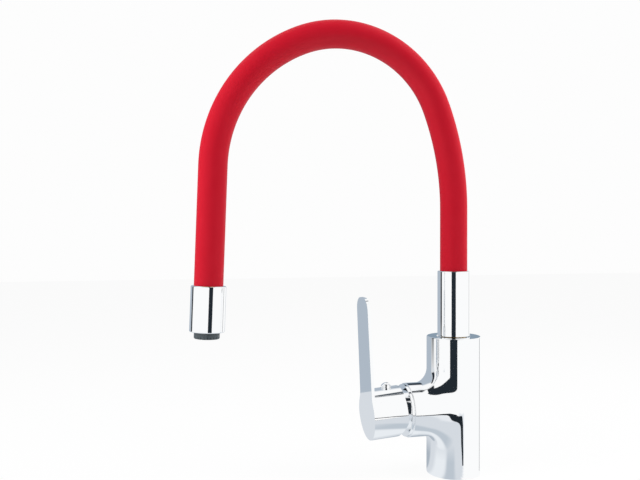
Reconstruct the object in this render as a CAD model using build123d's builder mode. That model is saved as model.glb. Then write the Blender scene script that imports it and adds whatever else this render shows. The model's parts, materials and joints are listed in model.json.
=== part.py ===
"""Single-lever kitchen faucet with a bendable, silicone-sleeved spout.

Millimetres. The origin is the centre of the base's flat underside, +Z is up, and both the spout
and the lever barrel point along -X.
"""

import os
from math import atan2, cos, degrees, radians, sin, sqrt, tan

from build123d import *

os.makedirs("parts", exist_ok=True)

# Fits and cuts
running_fit = 0.05
loose_fit = 0.3
cut_overrun = 2.0
seam_gap = 0.3

# Body casting
column_radius = 24.0
column_height = 122.0
column_edge = 0.8
barrel_radius = 23.5
barrel_axis_height = 58.0
barrel_reach = 45.8
barrel_top_blend = 9.0
barrel_bottom_blend = 1.5
barrel_edge = 0.5

# Base, deck seal and mounting kit
shank_radius = 16.5
shank_bore_radius = 13.5
shank_drop = 52.0
shank_socket_depth = 14.0
seal_groove_inner = 18.5
seal_groove_outer = 21.5
seal_thickness = 2.2
deck_thickness = 30.0
clamp_radius = 27.0
clamp_gasket_thickness = 2.0
clamp_washer_thickness = 2.0
nut_across_flats = 46.0
nut_height = 10.0

# Waterways in the casting
inlet_spread = 7.5
inlet_thread_radius = 5.0
inlet_thread_depth = 12.0
inlet_radius = 3.2
inlet_port_drop = 6.0
outlet_port_rise = 8.0
outlet_port_radius = 4.0
riser_radius = 6.0

# Swivel socket in the column and the stem in it
socket_radius = 11.2
socket_depth = 38.0
gland_radius = 15.0
gland_depth = 18.0
glide_thickness = 2.2
stem_bore_radius = 6.0
stem_flange_radius = 13.5
stem_flange_height = 4.0
stem_neck_radius = 11.0
stem_rise = 28.0
stem_foot_gap = 2.0
stem_web = 3.0
o_ring_section = 1.3
o_ring_spacing = 7.0

# Ferrule tube on the column
ferrule_radius = 14.3
ferrule_rise = 58.2
ferrule_edge = 0.6

# Sleeve, inner hose and the bendable core
sleeve_radius = 12.1
sleeve_inner_radius = 10.2
sleeve_fit = 0.15
sleeve_foot_gap = 2.0
hose_radius = 3.8
hose_bore_radius = 2.6
barb_radius = 2.55
barb_bore_radius = 1.9
barb_length = 12.0
core_bore_radius = 4.5
core_neck_radius = 5.6
ball_radius = 8.0
cup_radius = 9.4
cup_lip = 3.5
cup_depth = 10.0
socket_play = 0.3
core_spigot_radius = 8.5
core_spigot_length = 14.0

# Route of the spout: a straight riser, three arcs that turn it over, a straight tail
arc_radii = [250.0, 93.3, 121.8]
arc_turns = [21.2, 90.6, 66.1]
riser_run = 55.1
tail_run = 99.4
joint_count = 9
first_joint_rise = 14.8
last_joint_rise = 15.0

# Nozzle and aerator
nozzle_radius = 14.5
nozzle_length = 37.8
nozzle_wall = 1.6
nozzle_edge = 0.8
sleeve_insert = 12.0
aerator_radius = 10.6
aerator_drop = 5.6
aerator_seat = 9.0
aerator_wall = 1.6
aerator_notches = 24
aerator_notch_width = 1.3
aerator_notch_depth = 1.1
aerator_edge = 1.0
grille_thickness = 2.0
grille_recess = 2.2
grille_hole_radius = 1.1
grille_holes_per_row = 6
grille_row_shares = [0.34, 0.68]
washer_thickness = 2.0
adapter_plate = 2.0

# Cartridge in the barrel; depths and reaches run from the barrel's end
chamber_depth = 23.8
chamber_radius = 17.6
cartridge_radius = 17.4
cartridge_base_thickness = 3.7
port_radius = 3.0
port_seal_radius = 4.9
port_seal_thickness = 2.0
fixed_disc_radius = 14.5
fixed_disc_thickness = 4.0
disc_gap = 0.05
moving_disc_radius = 10.5
moving_disc_thickness = 2.95
moving_disc_pocket = 1.6
carrier_radius = 12.5
carrier_flat = 12.0
carrier_thickness = 5.6
housing_wall = 1.4
housing_roof = 2.0
neck_radius = 11.6
neck_reach = 4.2
rotor_radius = 10.0
rotor_flange_thickness = 1.8
rotor_flange_play = 0.35
rotor_prong_depth = 4.9
rotor_prong_thickness = 2.4
rotor_prong_width = 7.0
cheek_radius = 9.6
cheek_reach = 11.2
rotor_seal_section = 0.9
thread_radius = 19.0
thread_length = 3.3
lock_nut_height = 4.4
lock_nut_bore = 12.2
lock_nut_flats = 4
lock_nut_slot_width = 5.0
lock_nut_slot_depth = 1.6
ring_radius = 22.6
ring_inner_radius = 19.4
ring_width = 2.6
ring_edge = 0.4
ring_web = 0.8
shroud_radius = 17.2
shroud_rise = 5.2
shroud_wall = 1.1
shroud_bore = 10.6
shroud_edge = 0.9

# Lever; its own frame stands at the pivot, tilted a little when the tap is shut
pivot_stand = 8.2
shut_tilt = 4.5
open_tilt = 20.0
spindle_side = 8.0
spindle_length = 20.0
spindle_tail = 18.0
tail_radius = 1.8
tail_ball_radius = 2.4
tail_play = 0.25
pin_radius = 1.5
pin_length = 18.0
hub_radius = 21.8
hub_rear = 2.6
hub_front = 28.0
hub_wall = 3.0
socket_boss_radius = 9.0
socket_boss_rear = 7.8
front_plate = 3.4
blade_height = 102.4
blade_lean = 1.9
blade_tip_thickness = 2.4
blade_root_width = 33.0
blade_tip_width = 30.0
blade_corner_radius = 11.0
blade_flare_radius = 14.0
blade_edge = 1.0
screw_radius = 2.5
screw_length = 6.0
screw_key_radius = 1.25
screw_key_depth = 2.5
screw_station = 8.5
screw_pillar_radius = 5.2
plug_radius = 4.4
plug_seat = 14.0
plug_rise = 4.2
plug_dome_rise = 2.6

# Values worked out from the sizes above; along the barrel they run from the column's axis
socket_floor = column_height - socket_depth
gland_floor = column_height - gland_depth
stem_top = column_height + stem_rise
ferrule_top = column_height + ferrule_rise
chamber_floor = barrel_reach - chamber_depth
neck_end = barrel_reach + neck_reach
cheek_end = barrel_reach + cheek_reach
pivot_reach = barrel_reach + pivot_stand
ring_front = barrel_reach + ring_width
full_tilt = radians(shut_tilt + open_tilt)
disc_travel = spindle_tail * (sin(full_tilt) - sin(radians(shut_tilt)))
tail_rest_rise = spindle_tail * sin(radians(shut_tilt))
carrier_centre = -disc_travel / 2

barrel_frame = Plane(origin=(0, 0, barrel_axis_height), x_dir=(0, 0, 1), z_dir=(-1, 0, 0))
lever_frame = Plane(
    origin=(-pivot_reach, 0, barrel_axis_height),
    x_dir=(-sin(radians(shut_tilt)), 0, cos(radians(shut_tilt))),
    z_dir=(-cos(radians(shut_tilt)), 0, -sin(radians(shut_tilt))),
)


def section_plane(frame):
    """The plane that holds a frame's x axis (as x) and its z axis (as y)."""
    return Plane(origin=frame.origin, x_dir=frame.x_dir, z_dir=frame.y_dir * -1)


def turned(frame, outline, mode=Mode.ADD):
    """Turn an outline of (radius, height) points round the frame's z axis."""
    with BuildSketch(section_plane(frame)) as profile:
        with BuildLine():
            Polyline(*outline, close=True)
        make_face()
    revolve(profile.sketch, axis=Axis(frame.origin, frame.z_dir), mode=mode)


def tube(frame, outer, inner, low, high, mode=Mode.ADD):
    """A round tube between two heights, or a solid bar where inner is zero."""
    turned(frame, [(inner, low), (outer, low), (outer, high), (inner, high)], mode)


def dome(frame, radius, low, high, rise):
    """A round bar with a spherical cap of the given rise at its top."""
    shoulder = high - rise
    cap_radius = (radius ** 2 + rise ** 2) / (2 * rise)
    half_angle = atan2(radius, cap_radius - rise) / 2
    with BuildSketch(section_plane(frame)) as profile:
        with BuildLine():
            Polyline((0, high), (0, low), (radius, low), (radius, shoulder))
            ThreePointArc(
                (radius, shoulder),
                (cap_radius * sin(half_angle), high - cap_radius * (1 - cos(half_angle))),
                (0, high),
            )
        make_face()
    revolve(profile.sketch, axis=Axis(frame.origin, frame.z_dir))


def o_ring(frame, centre_radius, height, section):
    """A rubber ring of round section."""
    with BuildSketch(section_plane(frame)) as profile:
        with Locations((centre_radius, height)):
            Circle(section)
    revolve(profile.sketch, axis=Axis(frame.origin, frame.z_dir))


def shifted(frame, along=0.0, x=0.0, y=0.0):
    """A frame moved within itself."""
    origin = frame.origin + frame.x_dir * x + frame.y_dir * y + frame.z_dir * along
    return Plane(origin=origin, x_dir=frame.x_dir, z_dir=frame.z_dir)


def finish(builder, name):
    """Label a finished piece and write it."""
    builder.part.label = name
    export_step(builder.part, f"parts/{name}.step")


# The spout's route, in the plane of the barrel and the column
sleeve_start = stem_top + sleeve_foot_gap
riser_length = ferrule_top - sleeve_start + riser_run
arc_lengths = [radius * radians(turn) for radius, turn in zip(arc_radii, arc_turns)]
tail_length = tail_run + sleeve_insert
stretches = [(riser_length, 0.0)]
stretches += list(zip(arc_lengths, arc_radii))
stretches += [(tail_length, 0.0)]
sleeve_length = sum(length for length, radius in stretches)
stretch_ends = [sum(length for length, radius in stretches[: k + 1]) for k in range(len(stretches))]


def route_state(travel):
    """Place and heading (radians from +X) at a distance along the route; straight past its ends."""
    x, z = 0.0, sleeve_start
    heading = radians(90)
    left = travel
    for number, (length, radius) in enumerate(stretches):
        last = number == len(stretches) - 1
        step = left if last else min(left, length)
        if radius:
            turn = step / radius
            x += radius * (sin(heading + turn) - sin(heading))
            z -= radius * (cos(heading + turn) - cos(heading))
            heading += turn
        else:
            x += step * cos(heading)
            z += step * sin(heading)
        left -= step
        if left <= 0:
            break
    return x, z, heading


def route_point(travel):
    """Place on the route as a point of the XZ plane."""
    x, z, heading = route_state(travel)
    return (x, z)


def route_frame(travel):
    """A frame on the route, its z axis along the water's way and its y axis along +Y."""
    x, z, heading = route_state(travel)
    return Plane(
        origin=(x, 0, z),
        x_dir=(sin(heading), 0, -cos(heading)),
        z_dir=(cos(heading), 0, sin(heading)),
    )


def route_line(start, end):
    """The lines and arcs of the route between two distances along it."""
    marks = [start] + [mark for mark in stretch_ends if start < mark < end] + [end]
    for low, high in zip(marks, marks[1:]):
        middle = (low + high) / 2
        if stretch_ends[0] < middle < stretch_ends[-2]:
            ThreePointArc(route_point(low), route_point(middle), route_point(high))
        else:
            Line(route_point(low), route_point(high))


def swept_tube(outer, inner, start, end):
    """A tube that follows the route."""
    with BuildLine(Plane.XZ) as path:
        route_line(start, end)
    with BuildSketch(route_frame(start)) as profile:
        Circle(outer)
        Circle(inner, mode=Mode.SUBTRACT)
    sweep(profile.sketch, path=path.line)


def cup(frame):
    """The socket end of a core length: a round cup about the frame's origin, open along z."""
    inner = ball_radius + socket_play
    lip_radius = sqrt(inner ** 2 - cup_lip ** 2)
    foot_depth = sqrt(inner ** 2 - core_bore_radius ** 2)
    middle_angle = (atan2(cup_lip, lip_radius) - atan2(foot_depth, core_bore_radius)) / 2
    with BuildSketch(section_plane(frame)) as profile:
        with BuildLine():
            Polyline((lip_radius, cup_lip), (cup_radius, cup_lip), (cup_radius, -cup_depth))
            Line((cup_radius, -cup_depth), (core_bore_radius, -cup_depth))
            Line((core_bore_radius, -cup_depth), (core_bore_radius, -foot_depth))
            ThreePointArc(
                (core_bore_radius, -foot_depth),
                (inner * cos(middle_angle), inner * sin(middle_angle)),
                (lip_radius, cup_lip),
            )
        make_face()
    revolve(profile.sketch, axis=Axis(frame.origin, frame.z_dir))


def ball(frame):
    """The ball end of a core length, bored for the water hose."""
    mouth = sqrt(ball_radius ** 2 - core_bore_radius ** 2)
    with BuildSketch(section_plane(frame)) as profile:
        with BuildLine():
            ThreePointArc((core_bore_radius, -mouth), (ball_radius, 0), (core_bore_radius, mouth))
            Line((core_bore_radius, mouth), (core_bore_radius, -mouth))
        make_face()
    revolve(profile.sketch, axis=Axis(frame.origin, frame.z_dir))


first_joint = ferrule_top - sleeve_start + first_joint_rise
last_joint = sleeve_length - sleeve_insert - last_joint_rise
joint_pitch = (last_joint - first_joint) / (joint_count - 1)
joint_travels = [first_joint + joint_pitch * k for k in range(joint_count)]


def casting(blend):
    """The outside of the body: column and barrel, blended where they meet."""
    with BuildPart() as solid:
        tube(Plane.XY, column_radius, 0, 0, column_height)
        with BuildSketch(barrel_frame):
            Circle(barrel_radius)
        extrude(amount=barrel_reach)
        meeting_edges = [e for e in solid.edges() if e.geom_type not in (GeomType.CIRCLE, GeomType.LINE)]
        fillet(meeting_edges, radius=blend)
    return solid.part


# Body casting, hollow for water, cartridge and swivel stem; its blend is wide only above the barrel
chamber_mouth = barrel_reach - thread_length
barrel_level = Plane.XY.offset(barrel_axis_height)
upper_casting = split(casting(barrel_top_blend), bisect_by=barrel_level, keep=Keep.TOP)
lower_casting = split(casting(barrel_bottom_blend), bisect_by=barrel_level, keep=Keep.BOTTOM)
with BuildPart() as mixer_body:
    add(upper_casting)
    add(lower_casting)
    fillet(mixer_body.edges().filter_by(GeomType.CIRCLE).sort_by(Axis.Z)[-1], radius=column_edge)
    barrel_end = mixer_body.faces().filter_by(GeomType.PLANE).group_by(Axis.X)[0]
    fillet(barrel_end.edges().filter_by(GeomType.CIRCLE), radius=barrel_edge)
    tube(Plane.XY, shank_radius + running_fit, 0, -cut_overrun, shank_socket_depth, Mode.SUBTRACT)
    tube(Plane.XY, seal_groove_outer, seal_groove_inner, -cut_overrun, seal_thickness, Mode.SUBTRACT)
    tube(barrel_frame, chamber_radius, 0, chamber_floor, barrel_reach + cut_overrun, Mode.SUBTRACT)
    tube(barrel_frame, thread_radius, 0, chamber_mouth, barrel_reach + cut_overrun, Mode.SUBTRACT)
    inlet_top = barrel_axis_height - inlet_port_drop
    for side in (-1, 1):
        column_side = shifted(Plane.XY, y=side * inlet_spread)
        port_side = shifted(barrel_frame, x=-inlet_port_drop, y=side * inlet_spread)
        tube(column_side, inlet_radius, 0, shank_socket_depth, inlet_top, Mode.SUBTRACT)
        tube(column_side, inlet_thread_radius, 0, shank_socket_depth,
             shank_socket_depth + inlet_thread_depth, Mode.SUBTRACT)
        tube(port_side, inlet_radius, 0, 0, chamber_floor + cut_overrun, Mode.SUBTRACT)
    outlet_height = barrel_axis_height + outlet_port_rise
    tube(shifted(barrel_frame, x=outlet_port_rise), outlet_port_radius, 0, 0,
         chamber_floor + cut_overrun, Mode.SUBTRACT)
    tube(Plane.XY, riser_radius, 0, outlet_height, socket_floor + cut_overrun, Mode.SUBTRACT)
    tube(Plane.XY, socket_radius, 0, socket_floor, gland_floor + cut_overrun, Mode.SUBTRACT)
    tube(Plane.XY, gland_radius, 0, gland_floor, column_height + cut_overrun, Mode.SUBTRACT)
finish(mixer_body, "mixer_body")

# Deck seal and the mounting kit below the deck
with BuildPart() as base_gasket:
    tube(Plane.XY, seal_groove_outer - running_fit, seal_groove_inner + running_fit, 0, seal_thickness)
finish(base_gasket, "base_gasket")

with BuildPart() as mounting_shank:
    tube(Plane.XY, shank_radius, shank_bore_radius, -shank_drop, shank_socket_depth - seam_gap)
finish(mounting_shank, "mounting_shank")

clamp_top = -deck_thickness
washer_top = clamp_top - clamp_gasket_thickness
nut_top = washer_top - clamp_washer_thickness
with BuildPart() as under_deck_gasket:
    tube(Plane.XY, clamp_radius, shank_radius + loose_fit, washer_top, clamp_top)
finish(under_deck_gasket, "under_deck_gasket")

with BuildPart() as under_deck_washer:
    tube(Plane.XY, clamp_radius, shank_radius + loose_fit, nut_top, washer_top)
finish(under_deck_washer, "under_deck_washer")

with BuildPart() as shank_nut:
    with BuildSketch(Plane.XY.offset(nut_top)):
        RegularPolygon(nut_across_flats / 2, 6, major_radius=False)
        Circle(shank_radius + running_fit, mode=Mode.SUBTRACT)
    extrude(amount=-nut_height)
finish(shank_nut, "shank_nut")

# Cartridge: base plate, seals, discs, slider, rotor and housing
base_low = chamber_floor + seam_gap
base_high = base_low + cartridge_base_thickness
port_places = [(-inlet_port_drop, -inlet_spread), (-inlet_port_drop, inlet_spread), (outlet_port_rise, 0)]
seal_top = chamber_floor + port_seal_thickness
with BuildPart() as cartridge_base:
    tube(barrel_frame, cartridge_radius, 0, base_low, base_high)
    for x, y in port_places:
        port = shifted(barrel_frame, x=x, y=y)
        tube(port, port_radius, 0, base_low - cut_overrun, base_high + cut_overrun, Mode.SUBTRACT)
        tube(port, port_seal_radius + running_fit, 0, base_low - cut_overrun, seal_top, Mode.SUBTRACT)
finish(cartridge_base, "cartridge_base")

with BuildPart() as cartridge_seals:
    for x, y in port_places:
        port = shifted(barrel_frame, x=x, y=y)
        tube(port, port_seal_radius, port_radius + loose_fit, chamber_floor, seal_top)
finish(cartridge_seals, "cartridge_seals")

fixed_high = base_high + fixed_disc_thickness
with BuildPart() as fixed_disc:
    tube(barrel_frame, fixed_disc_radius, 0, base_high, fixed_high)
    for x, y in port_places:
        port = shifted(barrel_frame, x=x, y=y)
        tube(port, port_radius, 0, base_high - cut_overrun, fixed_high + cut_overrun, Mode.SUBTRACT)
finish(fixed_disc, "fixed_disc")

moving_low = fixed_high + disc_gap
moving_high = moving_low + moving_disc_thickness
carrier_high = moving_high + carrier_thickness
disc_frame = shifted(barrel_frame, x=carrier_centre)
with BuildPart() as moving_disc:
    tube(disc_frame, moving_disc_radius, 0, moving_low, moving_high)
    tube(disc_frame, moving_disc_radius / 2, 0, moving_low - cut_overrun,
         moving_low + moving_disc_pocket, Mode.SUBTRACT)
finish(moving_disc, "moving_disc")

tail_hole_floor = pivot_reach - spindle_tail - tail_ball_radius - tail_play
with BuildPart() as disc_carrier:
    tube(disc_frame, carrier_radius, 0, moving_high, carrier_high)
    with BuildSketch(shifted(disc_frame, moving_high)):
        Rectangle(carrier_flat, carrier_radius * 2)
    extrude(amount=carrier_thickness)
    tube(shifted(barrel_frame, x=tail_rest_rise), tail_ball_radius + tail_play, 0, tail_hole_floor,
         carrier_high + cut_overrun, Mode.SUBTRACT)
finish(disc_carrier, "disc_carrier")

flange_low = carrier_high + seam_gap
flange_high = flange_low + rotor_flange_thickness
roof_low = flange_high + rotor_flange_play
roof_high = roof_low + housing_roof
cavity_radius = cartridge_radius - housing_wall
flange_radius = cavity_radius - rotor_flange_play
seal_station = (roof_high + neck_end) / 2
slot_floor = pivot_reach - spindle_side / 2 - loose_fit
with BuildPart() as cartridge_housing:
    tube(barrel_frame, cartridge_radius, 0, base_high, roof_high)
    tube(barrel_frame, neck_radius, 0, roof_low, neck_end)
    tube(barrel_frame, cavity_radius, 0, base_high - cut_overrun, roof_low, Mode.SUBTRACT)
    tube(barrel_frame, rotor_radius + running_fit, 0, roof_low - cut_overrun, neck_end + cut_overrun,
         Mode.SUBTRACT)
finish(cartridge_housing, "cartridge_housing")

tail_slot_half = tail_ball_radius + loose_fit
tail_swing = spindle_tail * sin(full_tilt) + tail_ball_radius
neck_swing = (pivot_reach - flange_high) * tan(full_tilt) + tail_radius / cos(full_tilt)
with BuildPart() as cartridge_rotor:
    tube(barrel_frame, flange_radius, 0, flange_low, flange_high)
    tube(barrel_frame, rotor_radius, 0, flange_high, neck_end)
    tube(barrel_frame, cheek_radius, 0, neck_end, cheek_end)
    prong_inner = carrier_radius + loose_fit
    with BuildSketch(shifted(barrel_frame, flange_low)):
        with GridLocations(0, prong_inner * 2 + rotor_prong_thickness, 1, 2):
            Rectangle(rotor_prong_width, rotor_prong_thickness)
    extrude(amount=-rotor_prong_depth)
    with BuildSketch(shifted(barrel_frame, flange_low - cut_overrun)):
        with Locations(((tail_swing + loose_fit - tail_slot_half) / 2, 0)):
            Rectangle(tail_swing + loose_fit + tail_slot_half, tail_slot_half * 2)
    extrude(amount=flange_high - flange_low + cut_overrun, mode=Mode.SUBTRACT)
    with BuildSketch(shifted(barrel_frame, flange_high - seam_gap)):
        with Locations(((neck_swing + loose_fit - tail_slot_half) / 2, 0)):
            Rectangle(neck_swing + loose_fit + tail_slot_half, tail_slot_half * 2)
    extrude(amount=slot_floor - flange_high + seam_gap * 2, mode=Mode.SUBTRACT)
    with BuildSketch(shifted(barrel_frame, slot_floor)):
        Rectangle(cheek_radius * 4, spindle_side + loose_fit)
    extrude(amount=cheek_end - slot_floor + cut_overrun, mode=Mode.SUBTRACT)
    pin_frame = Plane(origin=lever_frame.origin, x_dir=(1, 0, 0), z_dir=(0, 1, 0))
    tube(pin_frame, pin_radius + running_fit, 0, -cheek_radius - cut_overrun, cheek_radius + cut_overrun,
         Mode.SUBTRACT)
    tube(barrel_frame, rotor_radius + cut_overrun, rotor_radius - rotor_seal_section,
         seal_station - rotor_seal_section, seal_station + rotor_seal_section, Mode.SUBTRACT)
finish(cartridge_rotor, "cartridge_rotor")

with BuildPart() as rotor_seal:
    tube(barrel_frame, rotor_radius + running_fit / 2, rotor_radius - rotor_seal_section,
         seal_station - rotor_seal_section, seal_station + rotor_seal_section)
finish(rotor_seal, "rotor_seal")

with BuildPart() as lever_pivot_pin:
    tube(pin_frame, pin_radius, 0, -pin_length / 2, pin_length / 2)
finish(lever_pivot_pin, "lever_pivot_pin")

with BuildPart() as retaining_nut:
    tube(barrel_frame, thread_radius - running_fit, lock_nut_bore, roof_high, roof_high + lock_nut_height)
    with BuildSketch(shifted(barrel_frame, roof_high + lock_nut_height - lock_nut_slot_depth)):
        with PolarLocations((thread_radius + lock_nut_bore) / 2, lock_nut_flats):
            Rectangle(thread_radius, lock_nut_slot_width)
    extrude(amount=lock_nut_slot_depth + cut_overrun, mode=Mode.SUBTRACT)
finish(retaining_nut, "retaining_nut")

# Trim ring: a band on the barrel's end with a low shroud over the nut, inside the lever's hub
shroud_top = ring_front + shroud_rise
web_back = ring_front - ring_web
with BuildPart() as trim_ring:
    turned(barrel_frame, [
        (ring_radius, barrel_reach),
        (ring_radius, ring_front),
        (shroud_radius, ring_front),
        (shroud_radius, shroud_top),
        (shroud_bore, shroud_top),
        (shroud_bore, shroud_top - shroud_wall),
        (shroud_radius - shroud_wall, shroud_top - shroud_wall),
        (shroud_radius - shroud_wall, web_back),
        (ring_inner_radius, web_back),
        (ring_inner_radius, barrel_reach),
    ])
    shroud_rim = trim_ring.edges().filter_by(GeomType.CIRCLE).group_by(Axis.X)[0].sort_by(SortBy.RADIUS)[-1]
    fillet(shroud_rim, radius=shroud_edge)
    ring_circles = trim_ring.edges().filter_by(GeomType.CIRCLE)
    fillet(ring_circles.filter_by(lambda e: e.radius > ring_inner_radius), radius=ring_edge)
finish(trim_ring, "trim_ring")

# Spindle: square bar, round at the pivot, with a ball tail that pushes the slider
tail_ball_frame = shifted(lever_frame, -spindle_tail)
lever_pin_frame = Plane(origin=lever_frame.origin, x_dir=(1, 0, 0), z_dir=(0, 1, 0))
with BuildPart() as lever_spindle:
    with BuildSketch(lever_frame):
        Rectangle(spindle_side, spindle_side)
    extrude(amount=spindle_length)
    tube(lever_pin_frame, spindle_side / 2, 0, -spindle_side / 2, spindle_side / 2)
    tube(lever_frame, tail_radius, 0, -spindle_tail, 0)
    with BuildSketch(section_plane(tail_ball_frame)) as ball_profile:
        with BuildLine():
            ThreePointArc((0, -tail_ball_radius), (tail_ball_radius, 0), (0, tail_ball_radius))
            Line((0, tail_ball_radius), (0, -tail_ball_radius))
        make_face()
    revolve(ball_profile.sketch, axis=Axis(tail_ball_frame.origin, tail_ball_frame.z_dir))
    tube(lever_pin_frame, pin_radius + running_fit, 0, -spindle_side, spindle_side, Mode.SUBTRACT)
finish(lever_spindle, "lever_spindle")

# Lever blade: a leaning plate cut to its front outline
hub_front_inner = hub_front - front_plate
blade_top_front = hub_front - blade_height * tan(radians(blade_lean))
front_facing_share = 0.9
with BuildPart() as blade:
    with BuildSketch(section_plane(lever_frame)):
        with BuildLine():
            Polyline(
                (-hub_radius, hub_front_inner),
                (-hub_radius, hub_front),
                (0, hub_front),
                (blade_height, blade_top_front),
                (blade_height, blade_top_front - blade_tip_thickness),
                (hub_radius - hub_wall, hub_front_inner),
                close=True,
            )
        make_face()
    extrude(amount=hub_radius + cut_overrun, both=True)
    with BuildSketch(lever_frame) as front_outline:
        Circle(hub_radius)
        with BuildLine():
            Polyline(
                (0, -blade_root_width / 2),
                (blade_height, -blade_tip_width / 2),
                (blade_height, blade_tip_width / 2),
                (0, blade_root_width / 2),
                close=True,
            )
        make_face()
        tip_corners = front_outline.vertices().group_by(SortBy.DISTANCE)[-1]
        fillet(tip_corners, radius=blade_corner_radius)
        waist_corners = [v for v in front_outline.vertices() if 0 < v.X < hub_radius]
        fillet(waist_corners, radius=blade_flare_radius)
    extrude(amount=hub_front + cut_overrun, mode=Mode.INTERSECT)
    front_faces = [f for f in blade.faces() if f.normal_at().dot(lever_frame.z_dir) > front_facing_share]
    front_edges = ShapeList(edge for face in front_faces for edge in face.edges())
    fold = front_edges.filter_by(Axis.Y).group_by(Axis.Z)[0]
    fillet([edge for edge in front_edges if edge not in fold], radius=blade_edge)

# Relief under the hub: at full tilt it lies flat against the trim ring
ring_clearance = ring_front + seam_gap - pivot_reach


def relief_height(rise):
    """Height, in the lever's frame, below which the hub would meet the ring at full tilt."""
    return (ring_clearance - rise * sin(full_tilt)) / cos(full_tilt)


with BuildPart() as lever_handle:
    tube(lever_frame, hub_radius, hub_radius - hub_wall, -hub_rear, hub_front_inner + seam_gap)
    add(blade.part)
    tube(lever_frame, socket_boss_radius, 0, socket_boss_rear, hub_front_inner + seam_gap)
    pillar_frame = Plane(origin=shifted(lever_frame, screw_station).origin, x_dir=lever_frame.z_dir,
                         z_dir=lever_frame.x_dir)
    tube(pillar_frame, screw_pillar_radius, 0, spindle_side / 2, hub_radius - hub_wall / 2)
    with BuildSketch(section_plane(lever_frame)):
        with BuildLine():
            Polyline(
                (cut_overrun, relief_height(cut_overrun)),
                (-hub_radius - cut_overrun, relief_height(-hub_radius - cut_overrun)),
                (-hub_radius - cut_overrun, -hub_rear - hub_radius),
                (cut_overrun, -hub_rear - hub_radius),
                close=True,
            )
        make_face()
    extrude(amount=hub_radius + cut_overrun, both=True, mode=Mode.SUBTRACT)
    with BuildSketch(lever_frame):
        Rectangle(spindle_side + running_fit * 2, spindle_side + running_fit * 2)
    extrude(amount=spindle_length + seam_gap, mode=Mode.SUBTRACT)
    tube(pillar_frame, screw_radius + running_fit, 0, 0, hub_radius + cut_overrun, Mode.SUBTRACT)
    tube(pillar_frame, plug_radius + running_fit, 0, plug_seat, hub_radius + plug_rise, Mode.SUBTRACT)
finish(lever_handle, "lever_handle")

with BuildPart() as lever_grub_screw:
    screw_foot = spindle_side / 2
    tube(pillar_frame, screw_radius, 0, screw_foot, screw_foot + screw_length)
    tube(pillar_frame, screw_key_radius, 0, screw_foot + screw_length - screw_key_depth,
         screw_foot + screw_length + cut_overrun, Mode.SUBTRACT)
finish(lever_grub_screw, "lever_grub_screw")

with BuildPart() as screw_cover_plug:
    dome(pillar_frame, plug_radius, plug_seat, hub_radius + plug_rise, plug_dome_rise)
finish(screw_cover_plug, "screw_cover_plug")

# Swivel: stem, its seals and glides, the ring nut that keeps it, and the ferrule
glide_low_top = gland_floor + glide_thickness
flange_foot = glide_low_top + loose_fit
flange_head = flange_foot + stem_flange_height
glide_high_foot = flange_head + loose_fit
retainer_foot = glide_high_foot + glide_thickness
retainer_top = column_height - column_edge
barb_web = stem_top - core_spigot_length - barb_length
stem_foot = socket_floor + stem_foot_gap
ring_stations = [stem_foot + o_ring_spacing * (k + 1) - o_ring_spacing / 2 for k in range(2)]
with BuildPart() as swivel_stem:
    tube(Plane.XY, socket_radius - running_fit, stem_bore_radius, stem_foot, flange_foot)
    tube(Plane.XY, stem_flange_radius, stem_bore_radius, flange_foot, flange_head)
    tube(Plane.XY, stem_neck_radius, stem_bore_radius, flange_head, stem_top)
    tube(Plane.XY, core_spigot_radius + running_fit, 0, stem_top - core_spigot_length,
         stem_top + cut_overrun, Mode.SUBTRACT)
    tube(Plane.XY, stem_bore_radius + running_fit, barb_bore_radius, barb_web - stem_web, barb_web)
    tube(Plane.XY, barb_radius, barb_bore_radius, barb_web - stem_web, barb_web + barb_length)
    for station in ring_stations:
        tube(Plane.XY, socket_radius + cut_overrun, socket_radius - o_ring_section * 2,
             station - o_ring_section, station + o_ring_section, Mode.SUBTRACT)
finish(swivel_stem, "swivel_stem")

with BuildPart() as stem_o_rings:
    for station in ring_stations:
        o_ring(Plane.XY, socket_radius - running_fit / 2 - o_ring_section, station,
               o_ring_section - running_fit / 2)
finish(stem_o_rings, "stem_o_rings")

with BuildPart() as glide_rings:
    for foot in (gland_floor, glide_high_foot):
        tube(Plane.XY, gland_radius - running_fit, stem_neck_radius + loose_fit + running_fit, foot,
             foot + glide_thickness)
finish(glide_rings, "glide_rings")

with BuildPart() as stem_retainer:
    tube(Plane.XY, gland_radius - running_fit, stem_neck_radius + running_fit, retainer_foot, retainer_top)
finish(stem_retainer, "stem_retainer")

ferrule_inner = sleeve_radius + sleeve_fit
with BuildPart() as spout_ferrule:
    tube(Plane.XY, ferrule_radius, stem_neck_radius + running_fit, column_height + seam_gap, stem_top)
    tube(Plane.XY, ferrule_radius, ferrule_inner, stem_top, ferrule_top)
    rims = spout_ferrule.edges().filter_by(GeomType.CIRCLE).filter_by(lambda e: e.radius > ferrule_inner)
    fillet(rims, radius=ferrule_edge)
finish(spout_ferrule, "spout_ferrule")

# Soft pieces that follow the whole route
with BuildPart() as silicone_sleeve:
    swept_tube(sleeve_radius, sleeve_inner_radius, 0, sleeve_length)
finish(silicone_sleeve, "silicone_sleeve")

hose_start = barb_web + running_fit - sleeve_start
hose_end = sleeve_length + barb_length
with BuildPart() as water_hose:
    with BuildLine(Plane.XZ) as hose_path:
        Line((0, sleeve_start + hose_start), route_point(0))
        route_line(0, hose_end)
    with BuildSketch(Plane.XY.offset(sleeve_start + hose_start)) as hose_section:
        Circle(hose_radius)
        Circle(hose_bore_radius, mode=Mode.SUBTRACT)
    sweep(hose_section.sketch, path=hose_path.line)
finish(water_hose, "water_hose")

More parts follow.
